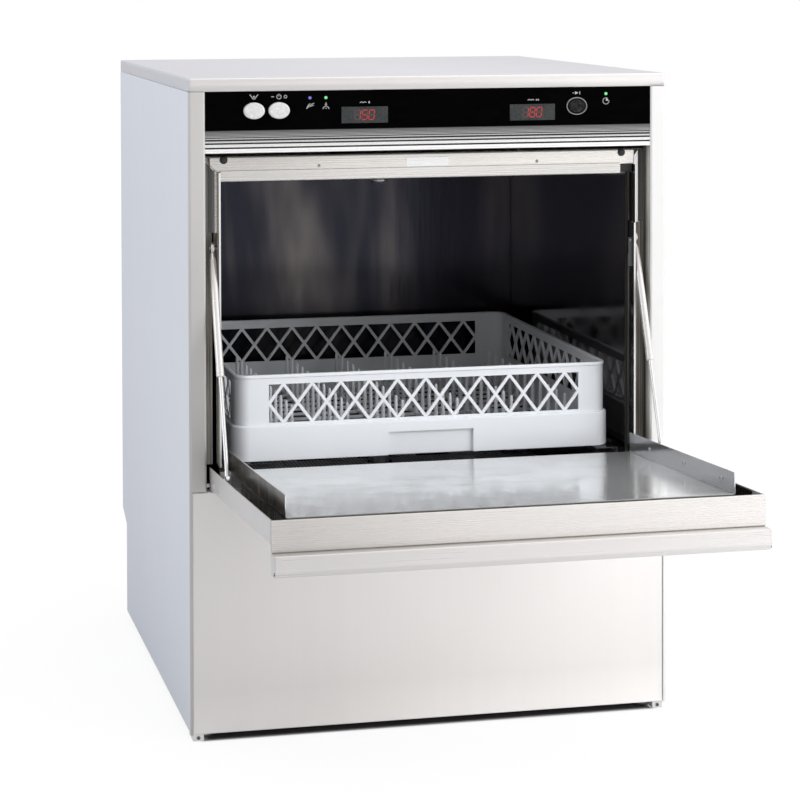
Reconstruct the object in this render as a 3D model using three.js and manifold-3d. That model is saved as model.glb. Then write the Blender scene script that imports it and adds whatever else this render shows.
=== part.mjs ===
// Undercounter front-loading dishwasher, stainless steel, 600 mm class, with its door open.
// Millimetres, +Z up, +X to the right, the front faces -Y.
// Origin: centre of the footprint on the underside of the base tray.
import * as THREE from 'three';
import Module from 'manifold-3d';

const wasm = await Module();
wasm.setup();

// ---------------------------------------------------------------- driving dimensions
// Suffixes: _HW half width in X; _Y0 and _Y1 front and rear; _Z0 and _Z1 bottom and top.
const WIDTH = 600;
const DEPTH = 640;
const HEIGHT = 790;
const SHEET = 1.5;                 // sheet thickness
const CABINET_HW = WIDTH / 2;
const FRONT = -DEPTH / 2;
const REAR = DEPTH / 2;
const GAP = 0.3;                   // gap between neighbouring parts
const TOP_EDGE = 16;               // folded edge of the top panel
const PANEL_Z1 = HEIGHT - TOP_EDGE - 0.4;  // top of the panels under the top panel
const PANEL_HW = CABINET_HW - 1.8; // panels fitted between the side panels
const SILL = 293;                  // top of the lower front panel
const JAMB_INNER_X = CABINET_HW - 18.5;
const LOWER_REAR_Y = 275.7;        // outer face of the lower rear panel
const FLANGE_Y = LOWER_REAR_Y + 0.5;
const CHAMBER_HW = 258;            // inner half width
const CHAMBER_Y0 = -290;
const CHAMBER_Y1 = 222;            // inner face of the rear wall
const CHAMBER_Z0 = 309.8;
const CHAMBER_Z1 = 689.7;          // underside of the ceiling
const CEILING_Y0 = -267.8;
const TANK_Z0 = 160;
const TANK_Z1 = 309.4;
const TANK_SHOULDER_Z = 260;
const ARM_Y = -34;                 // wash arm axis
const RACK_SUPPORT_Z = 317.8;      // rails and inner door panel, upper face
const MACHINERY_Z0 = 30.4;         // underside of the pump bases

const HINGE = [-315, 300];         // door hinge axis (y, z)
const DOOR_ANGLE = -3.25 * Math.PI / 180;  // turn about +X, lifts the front of the open door
const DOOR_HW = 275.5;
const STRUT_X = 268.5;             // strut plane
const STRUT_TOP = [-295, 583.5];   // upper pivot (y, z)
const STRUT_PIN = [-401, 318];     // door pin (y, z) with the door level

const FOOT_X = 281;
const FOOT_Y = { front: -290, rear: 256 };
// plan places (x, y)
const STANDPIPE = [165, 128];
const ARM_AXIS = [0, ARM_Y];
// rear connections (x, z)
const INLET = [-215, 70];
const DRAIN = [150, 55];
const CABLE = [215, 70];
// immersed heater: the x of its two legs, and their height
const HEATER_XS = [-120, -88];
const HEATER_Z = 195;

// ---------------------------------------------------------------- finishes: (color, roughness)
const metal = (color, roughness) => ({ color, roughness, metalness: 0.9 });
const housing = (color, roughness) => ({ color, roughness, metalness: 0.4 });
const matt = (color, roughness) => ({ color, roughness, metalness: 0 });
const steel = roughness => metal(0xc9cbcf, roughness);
const bright = roughness => metal(0xdadcdf, roughness);
const FINISH = {
  baseTray: steel(0.45),
  cabinet: steel(0.4),
  top: steel(0.38),
  door: steel(0.35),
  side: metal(0xc8d0de, 0.42),
  foot: metal(0x9a9ca0, 0.4),
  polished: bright(0.12),
  ceiling: bright(0.15),
  tank: bright(0.2),
  rail: bright(0.25),
  satin: bright(0.3),
  filter: bright(0.4),
  trim: metal(0xd8d8d6, 0.35),
  hinge: metal(0xb5b7ba, 0.35),
  strutTube: metal(0xc0c2c6, 0.3),
  strutRod: metal(0xd5d7da, 0.2),
  spindle: metal(0xaeb0b4, 0.35),
  heater: metal(0x8d8f93, 0.35),
  booster: metal(0xb9bcc0, 0.4),
  washPump: housing(0x3b3f46, 0.5),
  drainPump: housing(0x44484f, 0.5),
  seal: matt(0x2a2b2d, 0.8),
  glass: matt(0x0b0b0d, 0.12),
  paleButton: matt(0xf0f0ee, 0.35),
  darkButton: matt(0x161616, 0.35),
  display: matt(0x5c5c60, 0.3),
  blueLight: matt(0x3b62ff, 0.3),
  greenLight: matt(0x35d060, 0.3),
  board: matt(0x1f6b3c, 0.6),
  standpipe: matt(0xdfe2e6, 0.5),
  rack: matt(0xe9eaec, 0.5),
  hose: matt(0x2b2c2f, 0.7),
  fitting: matt(0x2b2c2f, 0.6),
  valve: matt(0xd9dade, 0.5),
  dosing: matt(0x6a6f78, 0.5),
};

// ---------------------------------------------------------------- ranges and outlines
const SIDES = [['left', -1], ['right', 1]];
const around = (centre, half) => [centre - half, centre + half];
const centred = half => [-half, half];
// a range given for the positive side, placed on either side
const onSide = (side, [inner, outer]) => side < 0 ? [-outer, -inner] : [inner, outer];

function oval([cx, cy], rx, ry, segments) {
  return Array.from({ length: segments }, (_, i) => {
    const angle = 2 * Math.PI * i / segments;
    return [cx + rx * Math.cos(angle), cy + ry * Math.sin(angle)];
  });
}
const rect = ([u0, u1], [v0, v1]) => [[u0, v0], [u1, v0], [u1, v1], [u0, v1]];

// ---------------------------------------------------------------- solids
// Weld a buffer geometry into a manifold, turning it the right way out.
function solid(geometry) {
  const position = (geometry.index ? geometry.toNonIndexed() : geometry).attributes.position;
  const round = value => Math.round(value * 1e4) / 1e4;
  const idOfKey = new Map();
  const points = [];
  const ids = [];
  for (let i = 0; i < position.count; i++) {
    const point = [position.getX(i), position.getY(i), position.getZ(i)].map(round);
    const key = point.join('_');
    if (!idOfKey.has(key)) {
      idOfKey.set(key, points.length);
      points.push(point);
    }
    ids.push(idOfKey.get(key));
  }
  const triangles = [];
  let volume = 0;
  for (let i = 0; i < ids.length; i += 3) {
    const [a, b, c] = ids.slice(i, i + 3);
    if (a === b || b === c || a === c) continue;
    triangles.push([a, b, c]);
    const [A, B, C] = [points[a], points[b], points[c]];
    volume += A[0] * (B[1] * C[2] - B[2] * C[1])
      - A[1] * (B[0] * C[2] - B[2] * C[0])
      + A[2] * (B[0] * C[1] - B[1] * C[0]);
  }
  const outward = volume < 0 ? triangles.map(([a, b, c]) => [b, a, c]) : triangles;
  return new wasm.Manifold(new wasm.Mesh({
    numProp: 3,
    vertProperties: new Float32Array(points.flat()),
    triVerts: new Uint32Array(outward.flat()),
  }));
}

function toGeometry(shape) {
  const mesh = shape.getMesh();
  const geometry = new THREE.BufferGeometry();
  const positions = new Float32Array(mesh.vertProperties);
  geometry.setAttribute('position', new THREE.BufferAttribute(positions, 3));
  geometry.setIndex(new THREE.BufferAttribute(new Uint32Array(mesh.triVerts), 1));
  return geometry;
}

const sum = (...shapes) => shapes.reduce((a, b) => a.add(b));
const cut = (shape, ...tools) => tools.reduce((a, b) => a.subtract(b), shape);

function box([x0, x1], [y0, y1], [z0, z1]) {
  const geometry = new THREE.BoxGeometry(x1 - x0, y1 - y0, z1 - z0);
  geometry.translate((x0 + x1) / 2, (y0 + y1) / 2, (z0 + z1) / 2);
  return solid(geometry);
}

const shapeOf = outline => new THREE.Shape(outline.map(([u, v]) => new THREE.Vector2(u, v)));
const extrude = (outline, depth) =>
  new THREE.ExtrudeGeometry(shapeOf(outline), { depth, bevelEnabled: false });
const turnAxes = (geometry, ...axes) => geometry.applyMatrix4(
  new THREE.Matrix4().makeBasis(...axes.map(axis => new THREE.Vector3(...axis))));

// outline in (y, z), run along X
function prismX(outline, [x0, x1]) {
  const geometry = turnAxes(extrude(outline, x1 - x0), [0, 1, 0], [0, 0, 1], [1, 0, 0]);
  return solid(geometry.translate(x0, 0, 0));
}
// outline in (x, z), run along Y
function prismY(outline, [y0, y1], holes = []) {
  const geometry = turnAxes(extrude(outline, y1 - y0), [1, 0, 0], [0, 0, 1], [0, -1, 0]);
  const body = solid(geometry.translate(0, y1, 0));
  return cut(body, ...holes.map(hole => prismY(hole, [y0 - 1, y1 + 1])));
}
// outline in (x, y), run along Z
function prismZ(outline, [z0, z1], holes = []) {
  const body = solid(extrude(outline, z1 - z0).translate(0, 0, z0));
  return cut(body, ...holes.map(hole => prismZ(hole, [z0 - 1, z1 + 1])));
}
// round bars; centre is the axis in the other two coordinates
const rodX = (radius, xs, centre, n = 20) => prismX(oval(centre, radius, radius, n), xs);
const rodY = (radius, ys, centre, n = 20) => prismY(oval(centre, radius, radius, n), ys);
const rodZ = (radius, zs, centre, n = 20) => prismZ(oval(centre, radius, radius, n), zs);

const lathe = (profile, segments) =>
  new THREE.LatheGeometry(profile.map(([r, h]) => new THREE.Vector2(r, h)), segments);
// profile [radius, z] starting and ending on the axis, turned about Z at (x, y)
const turnZ = (profile, [x, y], segments) =>
  solid(lathe(profile, segments).rotateX(Math.PI / 2).translate(x, y, 0));
// profile [radius, x] turned about X at (y, z)
const turnX = (profile, [y, z], segments) =>
  solid(lathe(profile, segments).rotateZ(-Math.PI / 2).translate(0, y, z));

// A path that is sampled exactly at its own corner points.
class Polyline extends THREE.Curve {
  constructor(points) {
    super();
    this.points = points;
    this.last = points.length - 1;
  }
  getPointAt(t) {
    const place = Math.min(t * this.last, this.last - 1e-9);
    const i = Math.floor(place);
    return this.points[i].clone().lerp(this.points[i + 1], place - i);
  }
  getTangentAt(t) {
    const i = Math.round(t * this.last);
    const before = this.points[Math.max(0, i - 1)];
    const after = this.points[Math.min(this.last, i + 1)];
    return after.clone().sub(before).normalize();
  }
}

// round bar along a polyline; fillet is the length taken off each side of a corner
function pipe(corners, { radius, fillet, segments, bendSteps }) {
  const knots = corners.map(corner => new THREE.Vector3(...corner));
  const points = [knots[0]];
  for (let i = 1; i < knots.length - 1; i++) {
    const into = knots[i].clone().sub(knots[i - 1]).normalize();
    const onward = knots[i + 1].clone().sub(knots[i]).normalize();
    const start = knots[i].clone().addScaledVector(into, -fillet);
    const end = knots[i].clone().addScaledVector(onward, fillet);
    const bend = new THREE.QuadraticBezierCurve3(start, knots[i], end);
    points.push(start);
    for (let k = 1; k <= bendSteps; k++) points.push(bend.getPoint(k / bendSteps));
  }
  points.push(knots[knots.length - 1]);
  return solid(new THREE.ExtrudeGeometry(shapeOf(oval([0, 0], radius, radius, segments)), {
    steps: points.length - 1,
    bevelEnabled: false,
    extrudePath: new Polyline(points),
  }));
}

const machine = new THREE.Group();
function put(name, shape, finish, parent = machine) {
  const geometry = toGeometry(shape);
  geometry.computeVertexNormals();
  const mesh = new THREE.Mesh(geometry, new THREE.MeshStandardMaterial(finish));
  mesh.name = name;
  // pieces are drawn in machine coordinates, so they are set back from the group's pivot
  mesh.position.sub(parent.position);
  parent.add(mesh);
}

// ---------------------------------------------------------------- base and feet
put('base_tray', cut(
  box(centred(262), [-300, 268], [0, 30]),
  box(centred(260), [-298, 266], [2, 31])), FINISH.baseTray);

// [radius, z]
const FOOT_PROFILE = [
  [0, -9], [11, -9], [12.5, -7.5], [12.5, -4], [9, -1], [6, 0], [6, 24], [0, 24],
];
for (const [end, y] of Object.entries(FOOT_Y)) {
  for (const [name, side] of SIDES) {
    put(`foot_${end}_${name}`, turnZ(FOOT_PROFILE, [side * FOOT_X, y], 16), FINISH.foot);
  }
}

// ---------------------------------------------------------------- cabinet shells
// (y, z), with the stepped rear edge
const SIDE_OUTLINE = [
  [FRONT, 0], [276, 0], [276, 125], [REAR, 141], [REAR, PANEL_Z1], [FRONT, PANEL_Z1],
];
// folded sheet with a bottom return that carries the feet
function sidePanel(side) {
  const sheet = prismX(SIDE_OUTLINE, onSide(side, [CABINET_HW - SHEET, CABINET_HW]));
  const bottomReturn = box(onSide(side, [264, CABINET_HW]), [-304.5, 272], [4, 6]);
  const footHoles = Object.values(FOOT_Y).map(y => rodZ(6.6, [3, 7], [side * FOOT_X, y], 16));
  return cut(sum(sheet, bottomReturn), ...footHoles);
}
for (const [name, side] of SIDES) put(name + '_side_panel', sidePanel(side), FINISH.side);

put('rear_panel_upper',
  box(centred(PANEL_HW), [REAR - SHEET, REAR], [141.5, 773.4]), FINISH.cabinet);

// (y, z), with the sloping ledge that meets the upper rear panel
const LOWER_REAR_OUTLINE = [
  [274.2, 0], [LOWER_REAR_Y, 0], [LOWER_REAR_Y, 124.7], [319.7, 140.7],
  [318.4, 141.2], [318.2, 141.7], [274.2, 125.7],
];
put('rear_panel_lower', cut(
  prismX(LOWER_REAR_OUTLINE, centred(PANEL_HW)),
  rodY(9, [270, 280], CABLE, 16),
  rodY(10.5, [270, 280], INLET, 16),
  rodY(14, [270, 280], DRAIN, 16)), FINISH.cabinet);

put('top_panel', cut(
  box(centred(CABINET_HW), [FRONT, REAR], [HEIGHT - TOP_EDGE, HEIGHT]),
  box(centred(CABINET_HW - SHEET), [FRONT + SHEET, REAR - SHEET],
    [HEIGHT - TOP_EDGE - 1, HEIGHT - SHEET])), FINISH.top);

// open-backed shell, notched through its bottom fold at both ends
function frontLowerPanel() {
  const inside = [FRONT + SHEET, FRONT + 16];
  return cut(
    box(centred(PANEL_HW), [FRONT, FRONT + 15], [0, SILL]),
    box(centred(PANEL_HW - SHEET), inside, [SHEET, SILL - SHEET]),
    ...SIDES.map(([, side]) => box(onSide(side, [262, 296]), inside, [-1, 2])));
}
put('front_lower_panel', frontLowerPanel(), FINISH.cabinet);

for (const [name, side] of SIDES) {
  put(name + '_front_jamb', sum(
    box(onSide(side, [JAMB_INNER_X, PANEL_HW]), [FRONT, FRONT + SHEET], [SILL + GAP, PANEL_Z1]),
    box(onSide(side, [JAMB_INNER_X, JAMB_INNER_X + SHEET]), [FRONT, FRONT + 26],
      [330, PANEL_Z1])), FINISH.cabinet);
}

// (y, z)
const CROSS_MEMBER_OUTLINE = [
  [-289.6, 673], [-281, 673], [-281, 668], [-268.3, 668], [-268.3, 669.5], [-279.5, 669.5],
  [-279.5, 674.5], [-288.1, 674.5], [-288.1, 689.5], [-268.3, 689.5], [-268.3, 691],
  [-289.6, 691],
];
put('upper_cross_member', prismX(CROSS_MEMBER_OUTLINE, centred(280)), FINISH.satin);

// ---------------------------------------------------------------- wash chamber
const MOUTH_Z1 = 667.6;
// (y, z), notched at the upper front corner
const CHAMBER_WALL_OUTLINE = [
  [CHAMBER_Y0, CHAMBER_Z0], [CHAMBER_Y1 + SHEET, CHAMBER_Z0], [CHAMBER_Y1 + SHEET, CHAMBER_Z1],
  [CEILING_Y0, CHAMBER_Z1], [CEILING_Y0, MOUTH_Z1], [CHAMBER_Y0, MOUTH_Z1],
];
// wall with the anchor plates and pin that carry the upper end of the strut
function chamberWall(side) {
  const anchorZ = [562, 604];
  return sum(
    prismX(CHAMBER_WALL_OUTLINE, onSide(side, [CHAMBER_HW, CHAMBER_HW + SHEET])),
    box(onSide(side, [259, 262.4]), [-286, -245], anchorZ),
    box(onSide(side, [260.8, 262.4]), [-303, -280], anchorZ),
    rodX(3, onSide(side, [261, 272.6]), STRUT_TOP));
}
for (const [name, side] of SIDES) put(`chamber_${name}_wall`, chamberWall(side), FINISH.polished);

put('chamber_rear_wall', box(centred(CHAMBER_HW - GAP), [CHAMBER_Y1, CHAMBER_Y1 + SHEET],
  [CHAMBER_Z0, CHAMBER_Z1]), FINISH.polished);
put('chamber_ceiling', cut(
  box(centred(CHAMBER_HW + SHEET), [CEILING_Y0, CHAMBER_Y1 + SHEET],
    [CHAMBER_Z1 + GAP, CHAMBER_Z1 + GAP + SHEET]),
  rodZ(12, [CHAMBER_Z1 - 1, CHAMBER_Z1 + 3], ARM_AXIS)), FINISH.ceiling);

// open box with a narrower sump; the filter plate lies just above the shoulder
function washTank() {
  const floorCut = [TANK_Z0 - 1, TANK_Z0 + 3];
  const outside = sum(
    box(centred(CHAMBER_HW + SHEET), [CHAMBER_Y0, CHAMBER_Y1 + SHEET],
      [TANK_SHOULDER_Z - 2, TANK_Z1]),
    box(centred(205), [-235, 165], [TANK_Z0, TANK_SHOULDER_Z]));
  return cut(outside,
    box(centred(CHAMBER_HW), [CHAMBER_Y0 + SHEET, CHAMBER_Y1], [TANK_SHOULDER_Z, TANK_Z1 + 1]),
    box(centred(203), [-233, 163], [TANK_Z0 + 2, TANK_SHOULDER_Z + 1]),
    rodZ(15, floorCut, ARM_AXIS),
    rodZ(12, floorCut, STANDPIPE),
    ...HEATER_XS.map(x => rodY(6, [160, 170], [x, HEATER_Z], 16)));
}
put('wash_tank', washTank(), FINISH.tank);

for (const [name, side] of SIDES) {
  put('rack_rail_' + name, sum(
    box(onSide(side, [220, 249]), [-288, 214], [RACK_SUPPORT_Z - SHEET, RACK_SUPPORT_Z]),
    box(onSide(side, [249 - SHEET, 249]), [-288, 214], [311, RACK_SUPPORT_Z]),
    box(onSide(side, [248, 257.7]), [-200, -180], [312, 314]),
    box(onSide(side, [248, 257.7]), [150, 170], [312, 314])), FINISH.rail);
}
// ring seal on the chamber mouth
put('door_seal', cut(
  box(centred(260.4), [-293.4, -290.3], [305.6, 667.7]),
  box(centred(257.2), [-295, -289], [308.8, 665.2])), FINISH.seal);

// ---------------------------------------------------------------- control fascia
const FASCIA_HW = JAMB_INNER_X - GAP;
const TRIM_Z0 = 699.5;
const TRIM_Z1 = 726.7;
const FASCIA_ZS = [TRIM_Z1 + GAP, PANEL_Z1];
const BUTTON_Z = 750.3;
const BUTTON_YS = [FRONT - 3.6, FRONT + 14];
const BUTTON_GAP = 0.4;
const DISPLAY_Z = 743.5;
const DISPLAY_HALF = [29, 10];     // half width, half height
const LIGHT_Z = 765;
const LIGHT_RADIUS = 1.8;
// name, x, half width, half height, finish
const BUTTONS = [
  ['drain_button', -220.8, 13, 10, FINISH.paleButton],
  ['power_button', -190.2, 13, 10, FINISH.paleButton],
  ['start_button', 184.4, 10.8, 8.3, FINISH.darkButton],
];
// name, x
const DISPLAYS = [['wash_display', -84.3], ['rinse_display', 127.7]];
// name, x, finish
const LIGHTS = [
  ['fill_indicator', -152.1, FINISH.blueLight],
  ['heat_indicator', -132.4, FINISH.greenLight],
  ['ready_indicator', 222.6, FINISH.greenLight],
];
const buttonOutline = (x, rx, rz, grow = 0) => oval([x, BUTTON_Z], rx + grow, rz + grow, 28);
const displayRanges = (x, grow = 0) =>
  [around(x, DISPLAY_HALF[0] + grow), around(DISPLAY_Z, DISPLAY_HALF[1] + grow)];
const lightHole = x => oval([x, LIGHT_Z], LIGHT_RADIUS + GAP, LIGHT_RADIUS + GAP, 12);

put('control_fascia', prismY(rect(centred(FASCIA_HW), FASCIA_ZS), [FRONT, FRONT + 4], [
  ...BUTTONS.map(([, x, rx, rz]) => buttonOutline(x, rx, rz, BUTTON_GAP)),
  ...DISPLAYS.map(([, x]) => rect(...displayRanges(x, GAP))),
  ...LIGHTS.map(([, x]) => lightHole(x)),
]), FINISH.glass);
for (const [name, x, rx, rz, finish] of BUTTONS) {
  put(name, prismY(buttonOutline(x, rx, rz), BUTTON_YS), finish);
}
for (const [name, x] of DISPLAYS) {
  const [xs, zs] = displayRanges(x);
  put(name, box(xs, [FRONT + 0.2, FRONT + 12], zs), FINISH.display);
}
for (const [name, x, finish] of LIGHTS) {
  put(name, rodY(LIGHT_RADIUS, [FRONT - 0.4, FRONT + 12], [x, LIGHT_Z], 12), finish);
}

// the board and the four blocks on its rear face
put('control_board', sum(
  box([-240, 250], [-301, -299.4], [708, 770]),
  box([-210, -150], [-300, -292], [715, 735]),
  box([-60, -20], [-300, -290], [740, 760]),
  box([40, 90], [-300, -286], [712, 740]),
  box([200, 235], [-300, -288], [715, 735])), FINISH.board);

// flat top band, then five grooves
function trimOutline() {
  const grooves = { count: 5, top: 718, pitch: 4.1 };
  const grooveFloor = FRONT + 1.5;
  const back = FRONT + 4;
  const outline = [[FRONT, TRIM_Z1]];
  for (let i = 0; i < grooves.count; i++) {
    const z = grooves.top - i * grooves.pitch;
    outline.push([FRONT, z], [grooveFloor, z - 0.6], [grooveFloor, z - 1.4], [FRONT, z - 2]);
  }
  outline.push([FRONT, TRIM_Z0], [back, TRIM_Z0], [back, TRIM_Z1]);
  return outline;
}
put('fascia_trim', prismX(trimOutline(), centred(FASCIA_HW)), FINISH.trim);

// ------------------------------------ drop-down door, drawn level, then raised about its hinge
const door = new THREE.Group();
door.position.set(0, ...HINGE);
door.rotation.x = DOOR_ANGLE;
machine.add(door);

function doorOuterPanel() {
  const [y0, y1] = [-713.4, -313];
  const [z0, z1] = [294, 321];
  const sideWall = [DOOR_HW - SHEET, DOOR_HW];
  const fittings = SIDES.flatMap(([, side]) => [
    box(onSide(side, sideWall), [y0, y1], [z0, z1]),
    rodX(6.2, onSide(side, sideWall), HINGE, 24),
    rodX(2.5, onSide(side, [STRUT_X + 2.6, DOOR_HW - 0.5]), STRUT_PIN, 16),
  ]);
  const tray = sum(
    box(centred(DOOR_HW), [y0, y1], [z0, z0 + SHEET]),
    box(centred(DOOR_HW), [y0, y0 + SHEET], [287, z1]),
    box(centred(DOOR_HW - 13), [y1 - SHEET, y1], [z0, 315]),
    ...fittings);
  return cut(tray, ...SIDES.map(([, side]) =>
    rodX(2.9, onSide(side, [DOOR_HW - SHEET - 1, DOOR_HW + 1]), HINGE)));
}
put('door_outer_panel', doorOuterPanel(), FINISH.door, door);

// plate with upturned side flanges and downturned ends
function doorInnerPanel() {
  const halfWidth = 254;
  const [y0, y1] = [-679, -325];
  const underside = RACK_SUPPORT_Z - SHEET;
  const endZs = [295.9, RACK_SUPPORT_Z];
  return sum(
    box(centred(halfWidth), [y0, y1], [underside, RACK_SUPPORT_Z]),
    ...SIDES.map(([, side]) =>
      box(onSide(side, [halfWidth - SHEET, halfWidth]), [y0, y1], [underside, 341.5])),
    box(centred(halfWidth), [y0, y0 + SHEET], endZs),
    box(centred(halfWidth), [y1 - SHEET, y1], endZs));
}
put('door_inner_panel', doorInnerPanel(), FINISH.polished, door);

// (y, z): curled finger lip under the front edge
const HANDLE_OUTLINE = [
  [-711.4, 286.6], [-722, 286.6], [-726.3, 283.6], [-728.2, 277.5], [-728, 270],
  [-725.4, 265], [-720.5, 262.6], [-704, 262.6], [-704, 265.1], [-719.8, 265.1],
  [-723.4, 267.1], [-725.5, 271], [-725.7, 277], [-724.3, 281.4], [-721, 284.1],
  [-704, 284.1], [-704, 293.7], [-711.4, 293.7],
];
put('door_handle', prismX(HANDLE_OUTLINE, centred(DOOR_HW)), FINISH.door, door);

// ---------------------------------------------------------------- hinge pivots and struts
// a (y, z) point of the level door, on the raised door
function raised([y, z]) {
  const [dy, dz] = [y - HINGE[0], z - HINGE[1]];
  const [cos, sin] = [Math.cos(DOOR_ANGLE), Math.sin(DOOR_ANGLE)];
  return [HINGE[0] + dy * cos - dz * sin, HINGE[1] + dy * sin + dz * cos];
}
const strutEnd = raised(STRUT_PIN);
const strutDy = strutEnd[0] - STRUT_TOP[0];
const strutDz = strutEnd[1] - STRUT_TOP[1];
const strutLength = Math.hypot(strutDy, strutDz);

// strut parts hang down from the origin, then lean about X and move to the upper pivot
const placeStrut = (shape, side) => solid(toGeometry(shape)
  .rotateX(-Math.atan2(-strutDy, -strutDz))
  .translate(side * STRUT_X, ...STRUT_TOP));
const strutTube = () => cut(
  sum(
    rodZ(4, [-158, -5], [0, 0], 12),
    rodX(7, centred(2), [0, 0], 16),
    rodZ(5, [-158, -146], [0, 0], 12)),
  rodZ(2.9, [-160, -38], [0, 0], 12),
  rodX(3.35, centred(3), [0, 0], 12));
const strutRod = () => cut(
  sum(
    rodZ(2.4, [-strutLength + 3, -strutLength + 150], [0, 0], 10),
    rodX(6, centred(2), [0, -strutLength], 16)),
  rodX(2.9, centred(3), [0, -strutLength], 12));

for (const [name, side] of SIDES) {
  // block on the side panel with its hinge pin
  put('hinge_pivot_' + name, sum(
    box(onSide(side, [283, 298.1]), [-318.1, -280], [SILL + 0.4, 312]),
    rodX(2.5, onSide(side, [272.2, 284]), HINGE)), FINISH.hinge);
  put('strut_tube_' + name, placeStrut(strutTube(), side), FINISH.strutTube);
  put('strut_rod_' + name, placeStrut(strutRod(), side), FINISH.strutRod);
}

// ---------------------------------------------------------------- wash and rinse arms
const ARM_REACH = 222;
const WASH_ARM = { reach: ARM_REACH, width: 30, hub: 24, bore: 9.6 };
const RINSE_ARM = { reach: ARM_REACH - 12, width: 16, hub: 17, bore: 7.6 };
// round-ended bar with a round hub; hub and bore are radii
function arm([z0, z1], { reach, width, hub, bore }) {
  const radius = width / 2;
  const outline = [];
  for (const end of [1, -1]) {
    for (let i = 0; i <= 6; i++) {
      const angle = -end * Math.PI / 2 + Math.PI * i / 6;
      outline.push([end * (reach - radius) + radius * Math.cos(angle), radius * Math.sin(angle)]);
    }
  }
  return cut(
    sum(prismZ(outline, [z0, z1]), rodZ(hub, [z0, z1], [0, 0])),
    rodZ(bore, [z0 - 1, z1 + 1], [0, 0], 16)).translate([0, ARM_Y, 0]);
}
put('lower_wash_arm', arm([276, 288], WASH_ARM), FINISH.satin);
put('lower_rinse_arm', arm([294, 301], RINSE_ARM), FINISH.satin);
put('upper_wash_arm', arm([654, 666], WASH_ARM), FINISH.satin);
put('upper_rinse_arm', arm([641, 648], RINSE_ARM), FINISH.satin);

// [radius, z]
const LOWER_SPINDLE = [
  [0, 127], [13, 127], [13, 272], [16, 274], [16, 275.4], [9, 275.4], [9, 289], [12, 289.4],
  [12, 293.2], [7, 293.2], [7, 302], [12, 302.4], [12, 305], [6, 307.5], [0, 307.5],
];
const UPPER_SPINDLE = [
  [0, 636], [9, 636], [12, 638], [12, 640.4], [7, 640.4], [7, 648.8], [12, 649.2], [12, 652.8],
  [9, 653.2], [9, 667], [16, 667.4], [16, 672], [10.5, 674], [10.5, 704], [0, 704],
];
put('lower_arm_spindle', turnZ(LOWER_SPINDLE, ARM_AXIS, 16), FINISH.spindle);
put('upper_arm_spindle', turnZ(UPPER_SPINDLE, ARM_AXIS, 16), FINISH.spindle);

// ---------------------------------------------------------------- tank fittings
// plate with a grid of openings, left out near the standpipe and the arm axis
function tankFilter() {
  const pitch = 82;
  const holes = [oval(ARM_AXIS, 17, 17, 20), oval(STANDPIPE, 24, 24, 20)];
  for (let i = -2; i <= 2; i++) {
    for (let j = -2; j <= 1; j++) {
      const x = i * pitch;
      const y = ARM_Y + (j + 0.5) * pitch;
      const nearStandpipe = Math.hypot(x - STANDPIPE[0], y - STANDPIPE[1]) < 60;
      const nearAxis = Math.hypot(x, y - ARM_Y) < 34;
      if (!nearStandpipe && !nearAxis) holes.push(rect(around(x, 24), around(y, 16)));
    }
  }
  const zs = [TANK_SHOULDER_Z + 0.4, TANK_SHOULDER_Z + 2];
  return prismZ(rect(centred(215), [-245, 175]), zs, holes);
}
put('tank_filter', tankFilter(), FINISH.filter);

put('overflow_standpipe', turnZ([
  [0, 156], [11, 156], [11, 163], [17, 164], [17, 300], [14, 304], [0, 304],
], STANDPIPE, 24), FINISH.standpipe);
put('tank_heater', pipe([
  [HEATER_XS[0], 172, HEATER_Z], [HEATER_XS[0], -150, HEATER_Z],
  [HEATER_XS[1], -150, HEATER_Z], [HEATER_XS[1], 172, HEATER_Z],
], { radius: 4.5, fillet: 15.9, segments: 10, bendSteps: 3 }), FINISH.heater);

// square basket, drawn centred with its underside at z = 0, then moved into the chamber
function dishRack() {
  const lowerHW = 241;
  const upperHW = 237;
  const innerHW = upperHW - 3.5;
  const [stepZ, topZ] = [44, 106];
  const windowZs = [47, 94];
  const postZs = [46, 95];
  const floorPitch = 88;
  let rack = cut(
    sum(
      box(centred(lowerHW), centred(lowerHW), [0, stepZ]),
      box(centred(upperHW), centred(upperHW), [stepZ, topZ])),
    box(centred(innerHW), centred(innerHW), [4, topZ + 1]),
    // one long window through each wall
    box([-196, 200], centred(260), windowZs),
    box(centred(260), [-196, 200], windowZs));
  // two posts in each window
  for (const place of [-66, 66]) {
    for (const [, side] of SIDES) {
      const wall = onSide(side, [innerHW, upperHW]);
      rack = sum(rack, box(around(place, 4), wall, postZs), box(wall, around(place, 4), postZs));
    }
  }
  // floor openings
  for (let i = -2; i <= 2; i++) {
    for (let j = -2; j <= 2; j++) {
      rack = cut(rack, box(around(i * floorPitch, 36), around(j * floorPitch, 36), [-1, 5]));
    }
  }
  return rack.translate([0, -283 + lowerHW, 318.6]);
}
put('dish_rack', dishRack(), FINISH.rack);

// ---------------------------------------------------------------- under and behind the chamber
put('wash_pump', sum(
  turnX([
    [0, -150], [38, -150], [42, -144], [42, -20], [52, -18], [52, 24], [30, 26], [30, 40], [0, 40],
  ], [ARM_Y, 72], 20),
  rodZ(11, [100, 126.4], ARM_AXIS, 16),
  box([-130, -50], around(ARM_Y, 40), [MACHINERY_Z0, 40])), FINISH.washPump);
put('drain_pump', sum(
  turnX([
    [0, 100], [24, 100], [26, 104], [26, 150], [34, 152], [34, 172], [16, 174], [16, 184], [0, 184],
  ], [128, 66], 16),
  box([112, 160], [104, 152], [MACHINERY_Z0, 44]),
  rodZ(8, [95, 155.6], STANDPIPE, 14)), FINISH.drainPump);
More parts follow.
